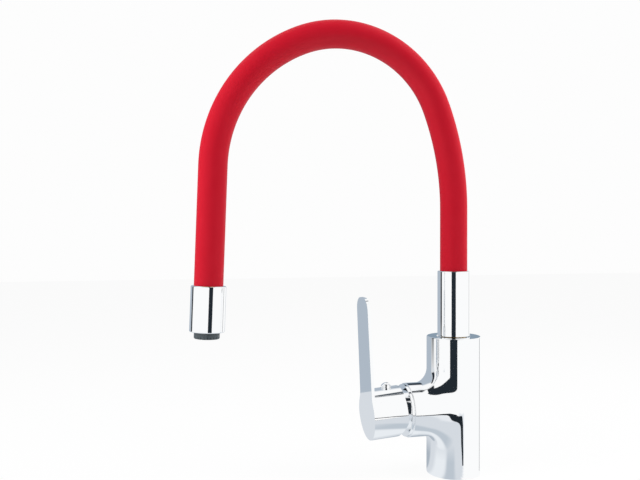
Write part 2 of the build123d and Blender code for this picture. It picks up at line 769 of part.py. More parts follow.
# Bendable core: a fixed root, then equal lengths that meet in ball joints
with BuildPart() as gooseneck_root:
    root_shoulder = stem_top + seam_gap
    cup_foot = sleeve_start + joint_travels[0] - cup_depth
    spigot_foot = stem_top - core_spigot_length + seam_gap
    tube(Plane.XY, core_spigot_radius, core_bore_radius, spigot_foot, root_shoulder)
    tube(Plane.XY, cup_radius, core_bore_radius, root_shoulder, cup_foot)
    cup(route_frame(joint_travels[0]))
finish(gooseneck_root, "gooseneck_root")

for number in range(1, joint_count):
    low = joint_travels[number - 1]
    high = joint_travels[number]
    with BuildPart() as gooseneck_length:
        ball(route_frame(low))
        swept_tube(core_neck_radius, core_bore_radius, low + core_neck_radius, high - cup_depth + seam_gap)
        cup(route_frame(high))
    finish(gooseneck_length, f"gooseneck_length_{number}")

# Nozzle: heights run along the water's way from the end of the sleeve
nozzle_frame = route_frame(sleeve_length)
nozzle_top = -sleeve_insert
nozzle_bottom = nozzle_top + nozzle_length
shell_inner = nozzle_radius - nozzle_wall
aerator_top = nozzle_bottom - aerator_seat
washer_low = aerator_top - washer_thickness
adapter_bore = aerator_radius + running_fit
adapter_web = barb_length + adapter_plate
last_ball = last_joint - sleeve_length
with BuildPart() as nozzle_shell:
    tube(nozzle_frame, nozzle_radius, sleeve_radius + sleeve_fit, nozzle_top, nozzle_top + nozzle_wall)
    tube(nozzle_frame, nozzle_radius, shell_inner, nozzle_top + nozzle_wall, nozzle_bottom)
    shell_circles = nozzle_shell.edges().filter_by(GeomType.CIRCLE)
    shell_rims = shell_circles.filter_by(lambda e: e.radius > shell_inner + seam_gap)
    fillet(shell_rims, radius=nozzle_edge)
finish(nozzle_shell, "nozzle_shell")

with BuildPart() as nozzle_adapter:
    ball(route_frame(last_joint))
    tube(nozzle_frame, core_neck_radius, core_bore_radius, last_ball + core_neck_radius, nozzle_top)
    tube(nozzle_frame, cup_radius, core_bore_radius, nozzle_top, seam_gap)
    tube(nozzle_frame, shell_inner - running_fit, core_bore_radius, seam_gap, adapter_web)
    tube(nozzle_frame, shell_inner - running_fit, adapter_bore, adapter_web, nozzle_bottom - nozzle_edge)
    tube(nozzle_frame, adapter_bore + running_fit, core_bore_radius, adapter_web, washer_low)
    tube(nozzle_frame, core_bore_radius + running_fit, barb_bore_radius,
         barb_length + running_fit, adapter_web)
    tube(nozzle_frame, barb_radius, barb_bore_radius, 0, adapter_web)
finish(nozzle_adapter, "nozzle_adapter")

with BuildPart() as aerator_seal:
    tube(nozzle_frame, aerator_radius - running_fit, core_bore_radius + loose_fit, washer_low, aerator_top)
finish(aerator_seal, "aerator_seal")

aerator_bottom = nozzle_bottom + aerator_drop
aerator_inner = aerator_radius - aerator_wall
with BuildPart() as aerator_housing:
    tube(nozzle_frame, aerator_radius, aerator_inner, aerator_top, aerator_bottom)
    outer_rim = aerator_housing.edges().filter_by(GeomType.CIRCLE).filter_by(
        lambda e: e.radius > aerator_inner + seam_gap).sort_by(Axis.Z)[0]
    fillet(outer_rim, radius=aerator_edge)
    with BuildSketch(shifted(nozzle_frame, aerator_bottom - aerator_notch_depth)):
        with PolarLocations(aerator_inner + aerator_wall / 2, aerator_notches):
            Rectangle(aerator_wall * 2, aerator_notch_width)
    extrude(amount=aerator_notch_depth + cut_overrun, mode=Mode.SUBTRACT)
finish(aerator_housing, "aerator_housing")

grille_low = aerator_bottom - grille_recess - grille_thickness
with BuildPart() as aerator_insert:
    tube(nozzle_frame, aerator_inner - running_fit, aerator_inner - aerator_wall, aerator_top, grille_low)
    tube(nozzle_frame, aerator_inner - running_fit, 0, grille_low, grille_low + grille_thickness)
    with BuildSketch(shifted(nozzle_frame, grille_low - cut_overrun)):
        Circle(grille_hole_radius)
        for row, share in enumerate(grille_row_shares, 1):
            with PolarLocations(aerator_inner * share, grille_holes_per_row * row):
                Circle(grille_hole_radius)
    extrude(amount=grille_thickness + cut_overrun * 2, mode=Mode.SUBTRACT)
finish(aerator_insert, "aerator_insert")

# Facts of the spout that the record repeats
print("sleeve length", round(sleeve_length, 2), "joint pitch", round(joint_pitch, 2))
print("disc travel", round(disc_travel, 3))
for number, travel in enumerate(joint_travels, 1):
    x, z, heading = route_state(travel)
    print("joint", number, round(x, 3), round(z, 3), "heading", round(degrees(heading), 3))
x, z, heading = route_state(sleeve_length + nozzle_bottom + aerator_drop)
print("outlet", round(x, 2), round(z, 2), "least core radius", min(arc_radii))
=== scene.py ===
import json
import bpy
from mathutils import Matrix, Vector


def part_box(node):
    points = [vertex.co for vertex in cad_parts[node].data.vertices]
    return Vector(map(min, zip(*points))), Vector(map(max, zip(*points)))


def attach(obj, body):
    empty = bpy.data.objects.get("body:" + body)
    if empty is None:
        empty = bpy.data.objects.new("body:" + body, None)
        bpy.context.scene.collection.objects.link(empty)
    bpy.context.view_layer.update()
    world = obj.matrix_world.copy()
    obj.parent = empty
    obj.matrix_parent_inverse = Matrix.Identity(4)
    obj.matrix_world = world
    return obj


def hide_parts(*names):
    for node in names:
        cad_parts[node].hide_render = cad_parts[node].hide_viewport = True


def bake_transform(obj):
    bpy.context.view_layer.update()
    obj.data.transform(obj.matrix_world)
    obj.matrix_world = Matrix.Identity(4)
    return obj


bl_info = {
    "name": "Flexible kitchen faucet",
    "version": (1, 0, 0),
    "blender": (4, 5, 0),
    "location": "View3D > Sidebar > Faucet",
    "description": "Models the chromed body, lever, sleeved spout and nozzle of a kitchen faucet",
    "category": "Object",
}

from math import atan2, cos, hypot, pi, radians, sin, sqrt, tan

import bmesh
import bpy
import numpy as np
from mathutils import Matrix, Vector

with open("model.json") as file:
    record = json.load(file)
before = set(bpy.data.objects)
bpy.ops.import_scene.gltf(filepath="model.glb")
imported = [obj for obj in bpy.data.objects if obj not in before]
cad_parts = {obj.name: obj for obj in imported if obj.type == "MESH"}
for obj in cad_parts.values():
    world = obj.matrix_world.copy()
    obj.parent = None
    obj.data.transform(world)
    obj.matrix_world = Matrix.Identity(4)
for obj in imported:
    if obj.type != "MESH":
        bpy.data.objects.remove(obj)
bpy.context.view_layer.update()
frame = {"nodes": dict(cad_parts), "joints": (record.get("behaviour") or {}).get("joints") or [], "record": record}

mm = 0.001
smooth_angle = radians(32)
clearance = 0.05 * mm
hairline = 0.01 * mm  # lengths below this count as none

split_joints = (2, 4)  # the core's joints, counted from 0, where the sleeve and the hose are split
split_wall_share = 0.6  # of the sleeve's wall is left where it is split


def cad_low(node):
    """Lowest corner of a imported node."""
    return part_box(node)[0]


def cad_high(node):
    """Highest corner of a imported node."""
    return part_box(node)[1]


def joint_place(name):
    """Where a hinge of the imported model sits."""
    return next(Vector(j["pos_m"]) for j in frame["joints"] if j["name"] == name)


def linear(hex_text):
    """An sRGB hex colour as linear red, green and blue."""
    channels = [int(hex_text[k:k + 2], 16) / 255 for k in (1, 3, 5)]
    return tuple(c / 12.92 if c <= 0.04045 else ((c + 0.055) / 1.055) ** 2.4 for c in channels)


def length(name, description, default):
    """A size that a user can change."""
    return bpy.props.FloatProperty(name=name, description=description, default=default, unit="LENGTH", precision=5)


def angle(name, description, default):
    """An angle that a user can change."""
    return bpy.props.FloatProperty(name=name, description=description, default=radians(default), unit="ROTATION")


def colour(name, description, hex_text):
    """A colour that a user can change."""
    return bpy.props.FloatVectorProperty(
        name=name, description=description, default=linear(hex_text), subtype="COLOR", min=0, max=1)


class FaucetBodySizes(bpy.types.PropertyGroup):
    """Column, barrel and mounting kit"""
    column_radius: length("Column radius", "Outside of the upright column", cad_high("mixer_body")[1])
    column_height: length("Column height", "Deck to the column's flat top", cad_high("mixer_body")[2])
    column_rim: length("Column rim", "Rounding of the column's top edge", 0.8 * mm)
    foot_rim: length("Foot rim", "Rounding of the column's foot", 0.4 * mm)
    barrel_radius: length("Barrel radius", "Outside of the side barrel", 23.5 * mm)
    barrel_level: length("Barrel level", "Height of the barrel's axis", 58.0 * mm)
    barrel_reach: length("Barrel reach", "Column's axis to the barrel's end", -cad_low("mixer_body")[0])
    barrel_rim: length("Barrel rim", "Rounding of the barrel's end", 0.5 * mm)
    barrel_bore: length("Barrel bore", "Radius of the threaded mouth", 19.0 * mm)
    barrel_bore_depth: length("Barrel bore depth", "Depth of the barrel's mouth", 14.0 * mm)
    top_blend: length("Top blend", "Radius of the blend above the barrel", 9.0 * mm)
    bottom_blend: length("Bottom blend", "Radius of the blend below the barrel", 1.5 * mm)
    flank_blend: length("Flank blend", "Radius of the blend on the barrel's sides", 26.0 * mm)
    gland_radius: length("Gland radius", "Radius of the bore in the column's top", 15.0 * mm)
    gland_depth: length("Gland depth", "Depth of the bore in the column's top", 9.0 * mm)
    shank_recess: length("Shank recess", "Depth of the bore in the foot", 14.0 * mm)
    shank_radius: length("Shank radius", "Outside of the mounting shank", cad_high("mounting_shank")[1])
    seal_outer: length("Seal outer", "Outer radius of the seal's groove", 21.5 * mm)
    seal_inner: length("Seal inner", "Inner radius of the seal's groove", 18.5 * mm)
    seal_depth: length("Seal depth", "Depth of the seal's groove", 2.2 * mm)
    inlet_radius: length("Inlet radius", "Radius of the two threaded inlets", 5.0 * mm)
    inlet_spread: length("Inlet spread", "Foot's axis to an inlet's axis", 7.5 * mm)
    inlet_depth: length("Inlet depth", "Depth of a threaded inlet", 12.0 * mm)
    skin_grain: length("Skin grain", "Mesh size of the casting's skin", 1.0 * mm)
    ring_radius: length("Ring radius", "Outside of the trim ring", cad_high("trim_ring")[1])
    ring_bore: length("Ring bore", "Inside of the trim ring", 19.4 * mm)
    ring_rim: length("Ring rim", "Rounding of the trim ring", 0.5 * mm)
    ring_width: length("Ring width", "Width of the trim ring's band", 2.6 * mm)
    ring_web: length("Ring web", "Web between the band and the shroud", 0.8 * mm)
    shroud_radius: length("Shroud radius", "Outside of the low shroud over the nut", 17.2 * mm)
    shroud_rise: length("Shroud rise", "Height of the shroud above the band", 5.2 * mm)
    shroud_bore: length("Shroud bore", "Radius of the hole in the shroud", 10.6 * mm)
    shroud_wall: length("Shroud wall", "Wall of the shroud", 1.1 * mm)
    shroud_rim: length("Shroud rim", "Rounding of the shroud's edge", 0.9 * mm)


class FaucetLeverSizes(bpy.types.PropertyGroup):
    """Hub, blade and cover plug; heights and reaches run in the lever's own tilted frame"""
    tilt: angle("Tilt", "Tilt of the hub when the tap is shut", 4.5)
    open_tilt: angle("Open tilt", "Further tilt of the hub when the tap is fully open", 20.0)
    hub_radius: length("Hub radius", "Outside of the hub", cad_high("lever_handle")[1])
    hub_rear: length("Hub rear", "Pivot to the hub's rear face", 2.6 * mm)
    hub_front: length("Hub front", "Pivot to the hub's front face", 28.0 * mm)
    hub_wall: length("Hub wall", "Wall of the hub", 3.0 * mm)
    plate: length("Plate", "Thickness of the front plate", 3.4 * mm)
    boss_radius: length("Boss radius", "Radius of the boss that holds the spindle", 9.0 * mm)
    boss_rear: length("Boss rear", "Pivot to the boss's rear face", 7.8 * mm)
    blade_height: length("Blade height", "Pivot to the blade's tip", 102.4 * mm)
    blade_lean: angle("Blade lean", "Lean of the blade back from the hub's face", 1.9)
    tip_thickness: length("Tip thickness", "Thickness of the blade's tip", 2.4 * mm)
    root_width: length("Root width", "Width of the blade at the pivot's level", 33.0 * mm)
    tip_width: length("Tip width", "Width of the blade at its tip", 30.0 * mm)
    tip_corner: length("Tip corner", "Radius of the blade's tip corners", 11.0 * mm)
    flare: length("Flare", "Radius where the blade's sides run into the hub", 14.0 * mm)
    rim: length("Rim", "Rounding of the front edge", 1.0 * mm)
    ring_gap: length("Ring gap", "Gap to the trim ring when fully open", 0.3 * mm)
    plug_station: length("Plug station", "Pivot to the cover plug's axis", 8.5 * mm)
    plug_radius: length("Plug radius", "Radius of the cover plug", 4.4 * mm)
    plug_rise: length("Plug rise", "Height of the plug above the hub", 4.2 * mm)
    plug_dome: length("Plug dome", "Height of the plug's domed top", 2.6 * mm)
    plug_depth: length("Plug depth", "Depth of the plug's hole", 7.8 * mm)


class FaucetSpoutSizes(bpy.types.PropertyGroup):
    """Ferrule, sleeve and nozzle; the route is a riser, three arcs and a straight tail"""
    ferrule_radius: length("Ferrule radius", "Outside of the ferrule", cad_high("spout_ferrule")[1])
    ferrule_wall: length("Ferrule wall", "Wall of the ferrule round the sleeve", 2.05 * mm)
    ferrule_collar: length("Ferrule collar", "Height of the ferrule's solid foot", 27.7 * mm)
    ferrule_neck: length("Ferrule neck", "Inner radius of the solid foot", 11.05 * mm)
    ferrule_rim: length("Ferrule rim", "Rounding of the ferrule's edges", 0.6 * mm)
    sleeve_radius: length("Sleeve radius", "Outside of the sleeve", cad_high("silicone_sleeve")[1])
    sleeve_wall: length("Sleeve wall", "Wall of the sleeve", 1.9 * mm)
    sleeve_start: length("Sleeve start", "Height where the sleeve begins", cad_low("silicone_sleeve")[2])
    hose_radius: length("Hose radius", "Outside of the water hose", cad_high("water_hose")[1])
    hose_wall: length("Hose wall", "Wall of the water hose", 1.2 * mm)
    hose_lead: length("Hose lead", "Hose below the sleeve's start", 27.95 * mm)
    hose_tail: length("Hose tail", "Hose past the sleeve's end", 12.0 * mm)
    riser: length("Riser", "Straight rise of the sleeve", 83.3 * mm)
    first_radius: length("First radius", "Radius of the first arc", 250.0 * mm)
    first_turn: angle("First turn", "Turn of the first arc", 21.2)
    crown_radius: length("Crown radius", "Radius of the middle arc", 93.3 * mm)
    crown_turn: angle("Crown turn", "Turn of the middle arc", 90.6)
    last_radius: length("Last radius", "Radius of the last arc", 121.8 * mm)
    last_turn: angle("Last turn", "Turn of the last arc", 66.1)
    tail: length("Tail", "Straight tail of the sleeve", 111.4 * mm)
    first_joint: length("First joint", "Sleeve start to the core's first joint", 43.0 * mm)
    joint_pitch: length("Joint pitch", "Sleeve between two joints of the core", 63.1567 * mm)
    bend_reach: length("Bend reach", "How far from a joint the sleeve starts to bend", 29.0 * mm)
    end_reach: length("End reach", "The same beside the ferrule and the nozzle", 12.0 * mm)
    hose_cut: length("Hose cut", "How far before a joint a split hose is cut", 7.45 * mm)
    hose_slit: length("Hose slit", "Gap between the halves of a split hose", 0.15 * mm)
    lip_angle: angle("Lip angle", "How far the round lip of a split tube reaches past its joint", 14.0)
    ring_step: length("Ring step", "Distance between the sleeve's rings of points", 2.6 * mm)
    nozzle_radius: length("Nozzle radius", "Outside of the nozzle", cad_high("nozzle_shell")[1])
    nozzle_length: length("Nozzle length", "Length of the nozzle's shell", 37.8 * mm)
    nozzle_wall: length("Nozzle wall", "Wall of the nozzle's shell", 1.6 * mm)
    nozzle_rim: length("Nozzle rim", "Rounding of the nozzle's edges", 0.8 * mm)
    nozzle_throat: length("Nozzle throat", "Gap round the sleeve in the nozzle's top", 0.15 * mm)
    sleeve_insert: length("Sleeve insert", "Sleeve inside the nozzle", 12.0 * mm)
    aerator_radius: length("Aerator radius", "Outside of the aerator's ring", cad_high("aerator_housing")[1])
    aerator_wall: length("Aerator wall", "Wall of the aerator's ring", 1.6 * mm)
    aerator_drop: length("Aerator drop", "Aerator below the nozzle's shell", 5.6 * mm)
    aerator_seat: length("Aerator seat", "Aerator inside the nozzle's shell", 9.0 * mm)
    aerator_rim: length("Aerator rim", "Rounding of the aerator's lower edge", 1.0 * mm)
    notch_depth: length("Notch depth", "Depth of the aerator's grip notches", 1.1 * mm)
    notch_count: bpy.props.IntProperty(name="Notch count", description="Grip notches round the aerator", default=24)
    notch_share: bpy.props.FloatProperty(
        name="Notch share", description="Share of the aerator's edge that the notches take", default=0.34)


class FaucetColours(bpy.types.PropertyGroup):
    """Colours of the visible finishes"""
    chrome: colour("Chrome", "Polished chrome plate", "#FAFBFC")
    silicone: colour("Silicone", "Sleeve's silicone", "#C31529")
    silicone_dust: colour("Silicone dust", "Paler bloom on the silicone", "#C81E30")
    brass: colour("Brass", "Bare machined brass", "#D3B26A")
    steel: colour("Steel", "Zinc plated steel", "#BFC2C4")
    aluminium: colour("Aluminium", "Core of the spout", "#C9CBCE")
    dark_plastic: colour("Dark plastic", "Aerator's ring", "#4B5459")
    white_plastic: colour("White plastic", "Cartridge and grille", "#E6E6E0")
    grey_plastic: colour("Grey plastic", "Rotor and slider", "#8A8D92")
    rubber: colour("Rubber", "Seals", "#1A1A1B")
    ceramic: colour("Ceramic", "Discs", "#EFEDE6")
    hose: colour("Hose", "Inner water hose", "#DCE1E4")
    floor: colour("Floor", "Pale floor", "#F4F5F6")


def deselect_all():
    """Nothing stays selected, so an operator acts on new geometry alone."""
    if bpy.context.object and bpy.context.object.mode != "OBJECT":
        bpy.ops.object.mode_set(mode="OBJECT")
    bpy.ops.object.select_all(action="DESELECT")


def choose(piece):
    """Make one piece the selected and active object."""
    deselect_all()
    piece.select_set(True)
    bpy.context.view_layer.objects.active = piece


def new_piece(name):
    """Name the object that an add operator has just made."""
    piece = bpy.context.active_object
    piece.name = name
    piece.data.name = name
    return piece


def apply_modifier(piece, kind, **settings):
    """Add one modifier with its settings and apply it."""
    choose(piece)
    modifier = piece.modifiers.new(kind.title(), kind)
    for key, value in settings.items():
        setattr(modifier, key, value)
    bpy.ops.object.modifier_apply(modifier=modifier.name)


def combine(piece, other, operation):
    """Join or cut a piece with another by a boolean, and drop the other."""
    apply_modifier(piece, "BOOLEAN", operation=operation, object=other, solver="EXACT")
    bpy.data.objects.remove(other, do_unlink=True)


def place(piece, matrix):
    """Move a finished piece to its place and leave its object at the origin."""
    choose(piece)
    piece.matrix_world = matrix
    bpy.ops.object.transform_apply(location=True, rotation=True, scale=True)


def smooth(piece, weighted=True):
    """Smooth shading with crisp edges, weighted so that flat and straight walls stay true."""
    choose(piece)
    bpy.ops.object.shade_smooth_by_angle(angle=smooth_angle)
    if weighted:
        apply_modifier(piece, "WEIGHTED_NORMAL", keep_sharp=True, mode="FACE_AREA")


def select_where(piece, kind, test):
    """In edit mode, select only the vertices, edges or faces that pass a test."""
    bpy.ops.mesh.select_mode(type={"verts": "VERT", "edges": "EDGE", "faces": "FACE"}[kind])
    bpy.ops.mesh.select_all(action="DESELECT")
    mesh = bmesh.from_edit_mesh(piece.data)
    for element in getattr(mesh, kind):
        if test(element):
            element.select_set(True)
    mesh.select_flush_mode()
    bmesh.update_edit_mesh(piece.data)


def recalculate(piece):
    """Merge doubles and turn every face outwards."""
    choose(piece)
    bpy.ops.object.mode_set(mode="EDIT")
    bpy.ops.mesh.select_all(action="SELECT")
    bpy.ops.mesh.remove_doubles(threshold=0.002 * mm)
    bpy.ops.mesh.normals_make_consistent(inside=False)
    bpy.ops.object.mode_set(mode="OBJECT")


def rounded(corners, steps=5):
    """Stations of an outline of (radius, height, rounding): each rounding becomes a short arc."""
    stations = []
    count = len(corners)
    for k, (r, h, rounding) in enumerate(corners):
        if rounding <= 0:
            stations.append((r, h))
            continue
        here = Vector((r, h))
        back = (Vector(corners[k - 1][:2]) - here).normalized()
        ahead = (Vector(corners[(k + 1) % count][:2]) - here).normalized()
        half = back.angle(ahead) / 2
        centre = here + (back + ahead).normalized() * (rounding / sin(half))
        start = here + back * (rounding / tan(half)) - centre
        end = here + ahead * (rounding / tan(half)) - centre
        sweep = atan2(start.x * end.y - start.y * end.x, start.dot(end))
        for step in range(steps + 1):
            turn = Matrix.Rotation(sweep * step / steps, 2)
            stations.append(tuple(centre + turn @ start))
    return stations


def draw_ring_to(station, previous, axis):
    """Extrude the selected ring and scale it to its next radius and height along an axis."""
    (r, h), (old_r, old_h) = station, previous
    along = axis[2] * (h - old_h)
    ratio = r / old_r
    scale = [ratio, ratio, ratio]
    scale[axis[0]] = 1
    centre = Vector(axis[1]) + axis[2] * h
    bpy.ops.mesh.extrude_region_move(TRANSFORM_OT_translate={"value": along})
    bpy.ops.transform.resize(value=scale, center_override=centre)


upright = (2, (0, 0, 0), Vector((0, 0, 1)))


def turned_piece(name, corners, segments=128, steps=5):
    """Turn an outline round Z: a ring is drawn from station to station; an outline may start and end on the axis."""
    stations = rounded(corners, steps)
    on_axis = corners[0][0] == 0
    ring = stations[1:-1] if on_axis else stations
    deselect_all()
    bpy.ops.mesh.primitive_circle_add(vertices=segments, radius=ring[0][0], location=(0, 0, ring[0][1]))
    piece = new_piece(name)
    bpy.ops.object.mode_set(mode="EDIT")
    bpy.ops.mesh.select_all(action="SELECT")
    for previous, station in zip(ring, ring[1:]):
        draw_ring_to(station, previous, upright)
    if on_axis:
        bpy.ops.mesh.extrude_region_move(
            TRANSFORM_OT_translate={"value": (0, 0, stations[-1][1] - ring[-1][1])})
        bpy.ops.mesh.merge(type="CENTER")
        select_where(piece, "edges", lambda edge: edge.is_boundary)
        bpy.ops.mesh.extrude_region_move(
            TRANSFORM_OT_translate={"value": (0, 0, stations[0][1] - ring[0][1])})
        bpy.ops.mesh.merge(type="CENTER")
    else:
        draw_ring_to(ring[0], ring[-1], upright)
    bpy.ops.object.mode_set(mode="OBJECT")
    place(piece, piece.matrix_world.copy())
    recalculate(piece)
    return piece


def pillar(name, radius, low, high, segments=64):
    """A plain round bar along Z, used to cut or as the start of a piece."""
    return turned_piece(name, [(0, low, 0), (radius, low, 0), (radius, high, 0), (0, high, 0)], segments)


def axis_matrix(origin, z_direction, x_direction):
    """A matrix that carries Z and X of a piece to the given directions at the given place."""
    z_axis = Vector(z_direction).normalized()
    y_axis = z_axis.cross(Vector(x_direction)).normalized()
    x_axis = y_axis.cross(z_axis)
    matrix = Matrix((x_axis, y_axis, z_axis)).transposed().to_4x4()
    matrix.translation = Vector(origin)
    return matrix


def barrel_matrix():
    """Frame of the barrel: Z out along -X from the column's axis, X upward."""
    level = bpy.context.scene.faucet_body.barrel_level
    return axis_matrix((0, 0, level), (-1, 0, 0), (0, 0, 1))


def lever_matrix():
    """Frame of the lever at its pivot, tilted as when the tap is shut."""
    tilt = bpy.context.scene.faucet_lever.tilt
    return axis_matrix(joint_place("lever_flow"), (-cos(tilt), 0, -sin(tilt)), (-sin(tilt), 0, cos(tilt)))


def finish_piece(piece, material, body, slot, *nodes):
    """Give a piece its material and body, and hide the nodes that it stands for. The slot is not used."""
    piece.data.materials.clear()
    piece.data.materials.append(material)
    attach(piece, body)
    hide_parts(*nodes)


def add_node(tree, kind, inputs=None, **settings):
    """Add a shader node, set its settings, and set or link its inputs."""
    node = tree.nodes.new(kind)
    for key, value in settings.items():
        setattr(node, key, value)
    for key, value in (inputs or {}).items():
        if isinstance(value, bpy.types.NodeSocket):
            tree.links.new(value, node.inputs[key])
        else:
            node.inputs[key].default_value = value
    return node


def start_material(name):
    """An empty material and its node tree."""
    material = bpy.data.materials.new(name)
    material.use_nodes = True
    material.node_tree.nodes.clear()
    return material, material.node_tree


def end_material(tree, inputs):
    """A Principled shader with the given inputs, joined to the output."""
    shader = add_node(tree, "ShaderNodeBsdfPrincipled", inputs)
    add_node(tree, "ShaderNodeOutputMaterial", {"Surface": shader.outputs["BSDF"]})


def grain(tree, size, detail=3.0, stretch=(1, 1, 1)):
    """Noise on object coordinates whose blotches are about the given size in metres."""
    coordinates = add_node(tree, "ShaderNodeTexCoord")
    mapping = add_node(tree, "ShaderNodeMapping", {"Vector": coordinates.outputs["Object"], "Scale": stretch})
    return add_node(tree, "ShaderNodeTexNoise", {
        "Vector": mapping.outputs["Vector"], "Scale": 1 / size, "Detail": detail, "Roughness": 0.55})


def between(tree, noise, low, high):
    """Noise spread between two values."""
    spread = add_node(tree, "ShaderNodeMapRange", {
        "Value": noise.outputs["Fac"], "From Min": 0.3, "From Max": 0.7, "To Min": low, "To Max": high})
    return spread.outputs["Result"]


def blend_colours(tree, factor, low, high):
    """A mix of two colours by a factor."""
    mix = add_node(tree, "ShaderNodeMix", {"Factor": factor, "A": (*low, 1), "B": (*high, 1)}, data_type="RGBA")
    return mix.outputs["Result"]


def relief(tree, noise, height, strength):
    """Bump from noise, its height in metres."""
    bump = add_node(tree, "ShaderNodeBump", {
        "Height": noise.outputs["Fac"], "Distance": height, "Strength": strength})
    return bump.outputs["Normal"]


def shade(colour_value, share):
    """A colour made darker by a share."""
    return tuple(channel * share for channel in colour_value)


def chrome_plate():
    """Bright chrome over polished brass: mirror sharp, with the faint haze and ripple of hand polishing."""
    material, tree = start_material("polished_chrome_plate")
    haze = grain(tree, 9 * mm)
    ripple = grain(tree, 16 * mm, detail=1.0)
    end_material(tree, {
        "Base Color": (*bpy.context.scene.faucet_colours.chrome, 1),
        "Metallic": 1.0,
        "Roughness": between(tree, haze, 0.03, 0.06),
        "Normal": relief(tree, ripple, 0.02 * mm, 0.35),
    })
    return material


def silicone_rubber():
    """Moulded silicone rubber: deep even colour, a soft broad sheen and a dry, finely grained skin."""
    colours = bpy.context.scene.faucet_colours
    material, tree = start_material("moulded_silicone_rubber")
    bloom = grain(tree, 14 * mm)
    skin = grain(tree, 0.7 * mm, detail=2.0)
    end_material(tree, {
        "Base Color": blend_colours(tree, between(tree, bloom, 0.0, 0.35), colours.silicone, colours.silicone_dust),
        "Roughness": between(tree, bloom, 0.44, 0.52),
        "IOR": 1.41,
        "Specular IOR Level": 0.2,
        "Subsurface Weight": 0.08,
        "Subsurface Radius": (2.0 * mm, 0.6 * mm, 0.5 * mm),
        "Subsurface Scale": 1.0,
        "Normal": relief(tree, skin, 0.03 * mm, 0.25),
    })
    return material


def machined_metal(name, colour_value, groove, low, high):
    """Bare turned metal: fine tool grooves round the axis, and roughness that varies with handling."""
    material, tree = start_material(name)
    handling = grain(tree, 6 * mm)
    tooling = grain(tree, groove, detail=2.0, stretch=(0.15, 0.15, 1))
    tint = blend_colours(tree, between(tree, handling, 0.0, 1.0), shade(colour_value, 0.82), colour_value)
    end_material(tree, {
        "Base Color": tint,
        "Metallic": 1.0,
        "Roughness": between(tree, handling, low, high),
        "Normal": relief(tree, tooling, 0.02 * mm, 0.5),
    })
    return material


def moulded_plastic(name, colour_value, low, high, ior=1.5):
    """Injection moulded plastic: even colour, with a fine spark-eroded texture in the skin."""
    material, tree = start_material(name)
    texture = grain(tree, 0.5 * mm)
    tone = grain(tree, 8 * mm)
    tint = blend_colours(tree, between(tree, tone, 0.0, 1.0), shade(colour_value, 0.92), colour_value)
    end_material(tree, {
        "Base Color": tint,
        "Roughness": between(tree, tone, low, high),
        "IOR": ior,
        "Normal": relief(tree, texture, 0.02 * mm, 0.3),
    })
    return material


def make_materials():
    """Every finish of the record, by its slot."""
    colours = bpy.context.scene.faucet_colours
    return {
        "chrome_plate": chrome_plate(),
        "red_silicone": silicone_rubber(),
        "bare_brass": machined_metal("turned_brass", colours.brass, 0.35 * mm, 0.22, 0.34),
        "plain_steel": machined_metal("zinc_plated_steel", colours.steel, 0.5 * mm, 0.28, 0.42),
        "core_metal": machined_metal("turned_aluminium", colours.aluminium, 0.4 * mm, 0.3, 0.4),
        "black_rubber": moulded_plastic("nitrile_rubber", colours.rubber, 0.6, 0.75, ior=1.52),
        "clear_hose": moulded_plastic("hose_polyethylene", colours.hose, 0.3, 0.4),
        "white_ceramic": moulded_plastic("lapped_alumina_ceramic", colours.ceramic, 0.12, 0.2, ior=1.76),
        "white_plastic": moulded_plastic("white_acetal", colours.white_plastic, 0.35, 0.45, ior=1.48),
        "grey_plastic": moulded_plastic("grey_acetal", colours.grey_plastic, 0.35, 0.45, ior=1.48),
        "dark_plastic": moulded_plastic("dark_acetal", colours.dark_plastic, 0.3, 0.42, ior=1.48),
    }


finishes = {}


def eased(share):
    """A smooth step from zero to one."""
    share = np.clip(share, 0, 1)
    return share * share * (3 - 2 * share)


def casting_skin(points, ends=False):
    """Distance from points to the casting's outside: two round bars with a rolling-ball blend between them."""
    sizes = bpy.context.scene.faucet_body
    x, y, z = points.T
    rise = z - sizes.barrel_level
    around = np.hypot(x, y)
    across = np.maximum(np.hypot(y, rise), 1e-9)
    column = around - sizes.column_radius
    barrel = np.maximum(across - sizes.barrel_radius, x)
    upper = eased(rise / (0.3 * sizes.barrel_radius) + 0.5)
    flank = eased((np.abs(y) / sizes.barrel_radius - 0.07) / 0.93)
    crest = sizes.bottom_blend + (sizes.top_blend - sizes.bottom_blend) * upper
    blend = crest + (sizes.flank_blend - crest) * flank
    alike = y * y / (np.maximum(around, 1e-9) * across)
    turn = np.maximum(1 - alike * alike, 1e-6)
    p, q = blend - column, blend - barrel
    inside = (p - q * alike > 0) & (q - p * alike > 0) & (x < 0)
    reach = np.sqrt(np.maximum(p * p + q * q - 2 * p * q * alike, 0) / turn)
    skin = np.where(inside, np.minimum(blend - reach, np.minimum(column, barrel)), np.minimum(column, barrel))
    if not ends:
        return skin
    for beyond, rounding in (
        (z - sizes.column_height, sizes.column_rim),
        (-z, sizes.foot_rim),
        (-x - sizes.barrel_reach, sizes.barrel_rim),
    ):
        corner = np.hypot(np.maximum(skin + rounding, 0), np.maximum(beyond + rounding, 0)) - rounding
        skin = np.where((skin > -rounding) & (beyond > -rounding), corner, np.maximum(skin, beyond))
    return skin


def skin_slope(points, ends=False):
    """Distance and outward direction of the casting's skin at points."""
    step = 0.01 * mm
    slopes = []
    for axis in range(3):
        shift = np.zeros(3)
        shift[axis] = step
        slopes.append((casting_skin(points + shift, ends) - casting_skin(points - shift, ends)) / (2 * step))
    slope = np.array(slopes).T
    size = np.maximum(np.linalg.norm(slope, axis=1, keepdims=True), 1e-9)
    return casting_skin(points, ends), slope / size


def mesh_points(piece):
    """A mesh's vertices as an array."""
    points = np.zeros(len(piece.data.vertices) * 3)
    piece.data.vertices.foreach_get("co", points)
    return points.reshape(-1, 3)


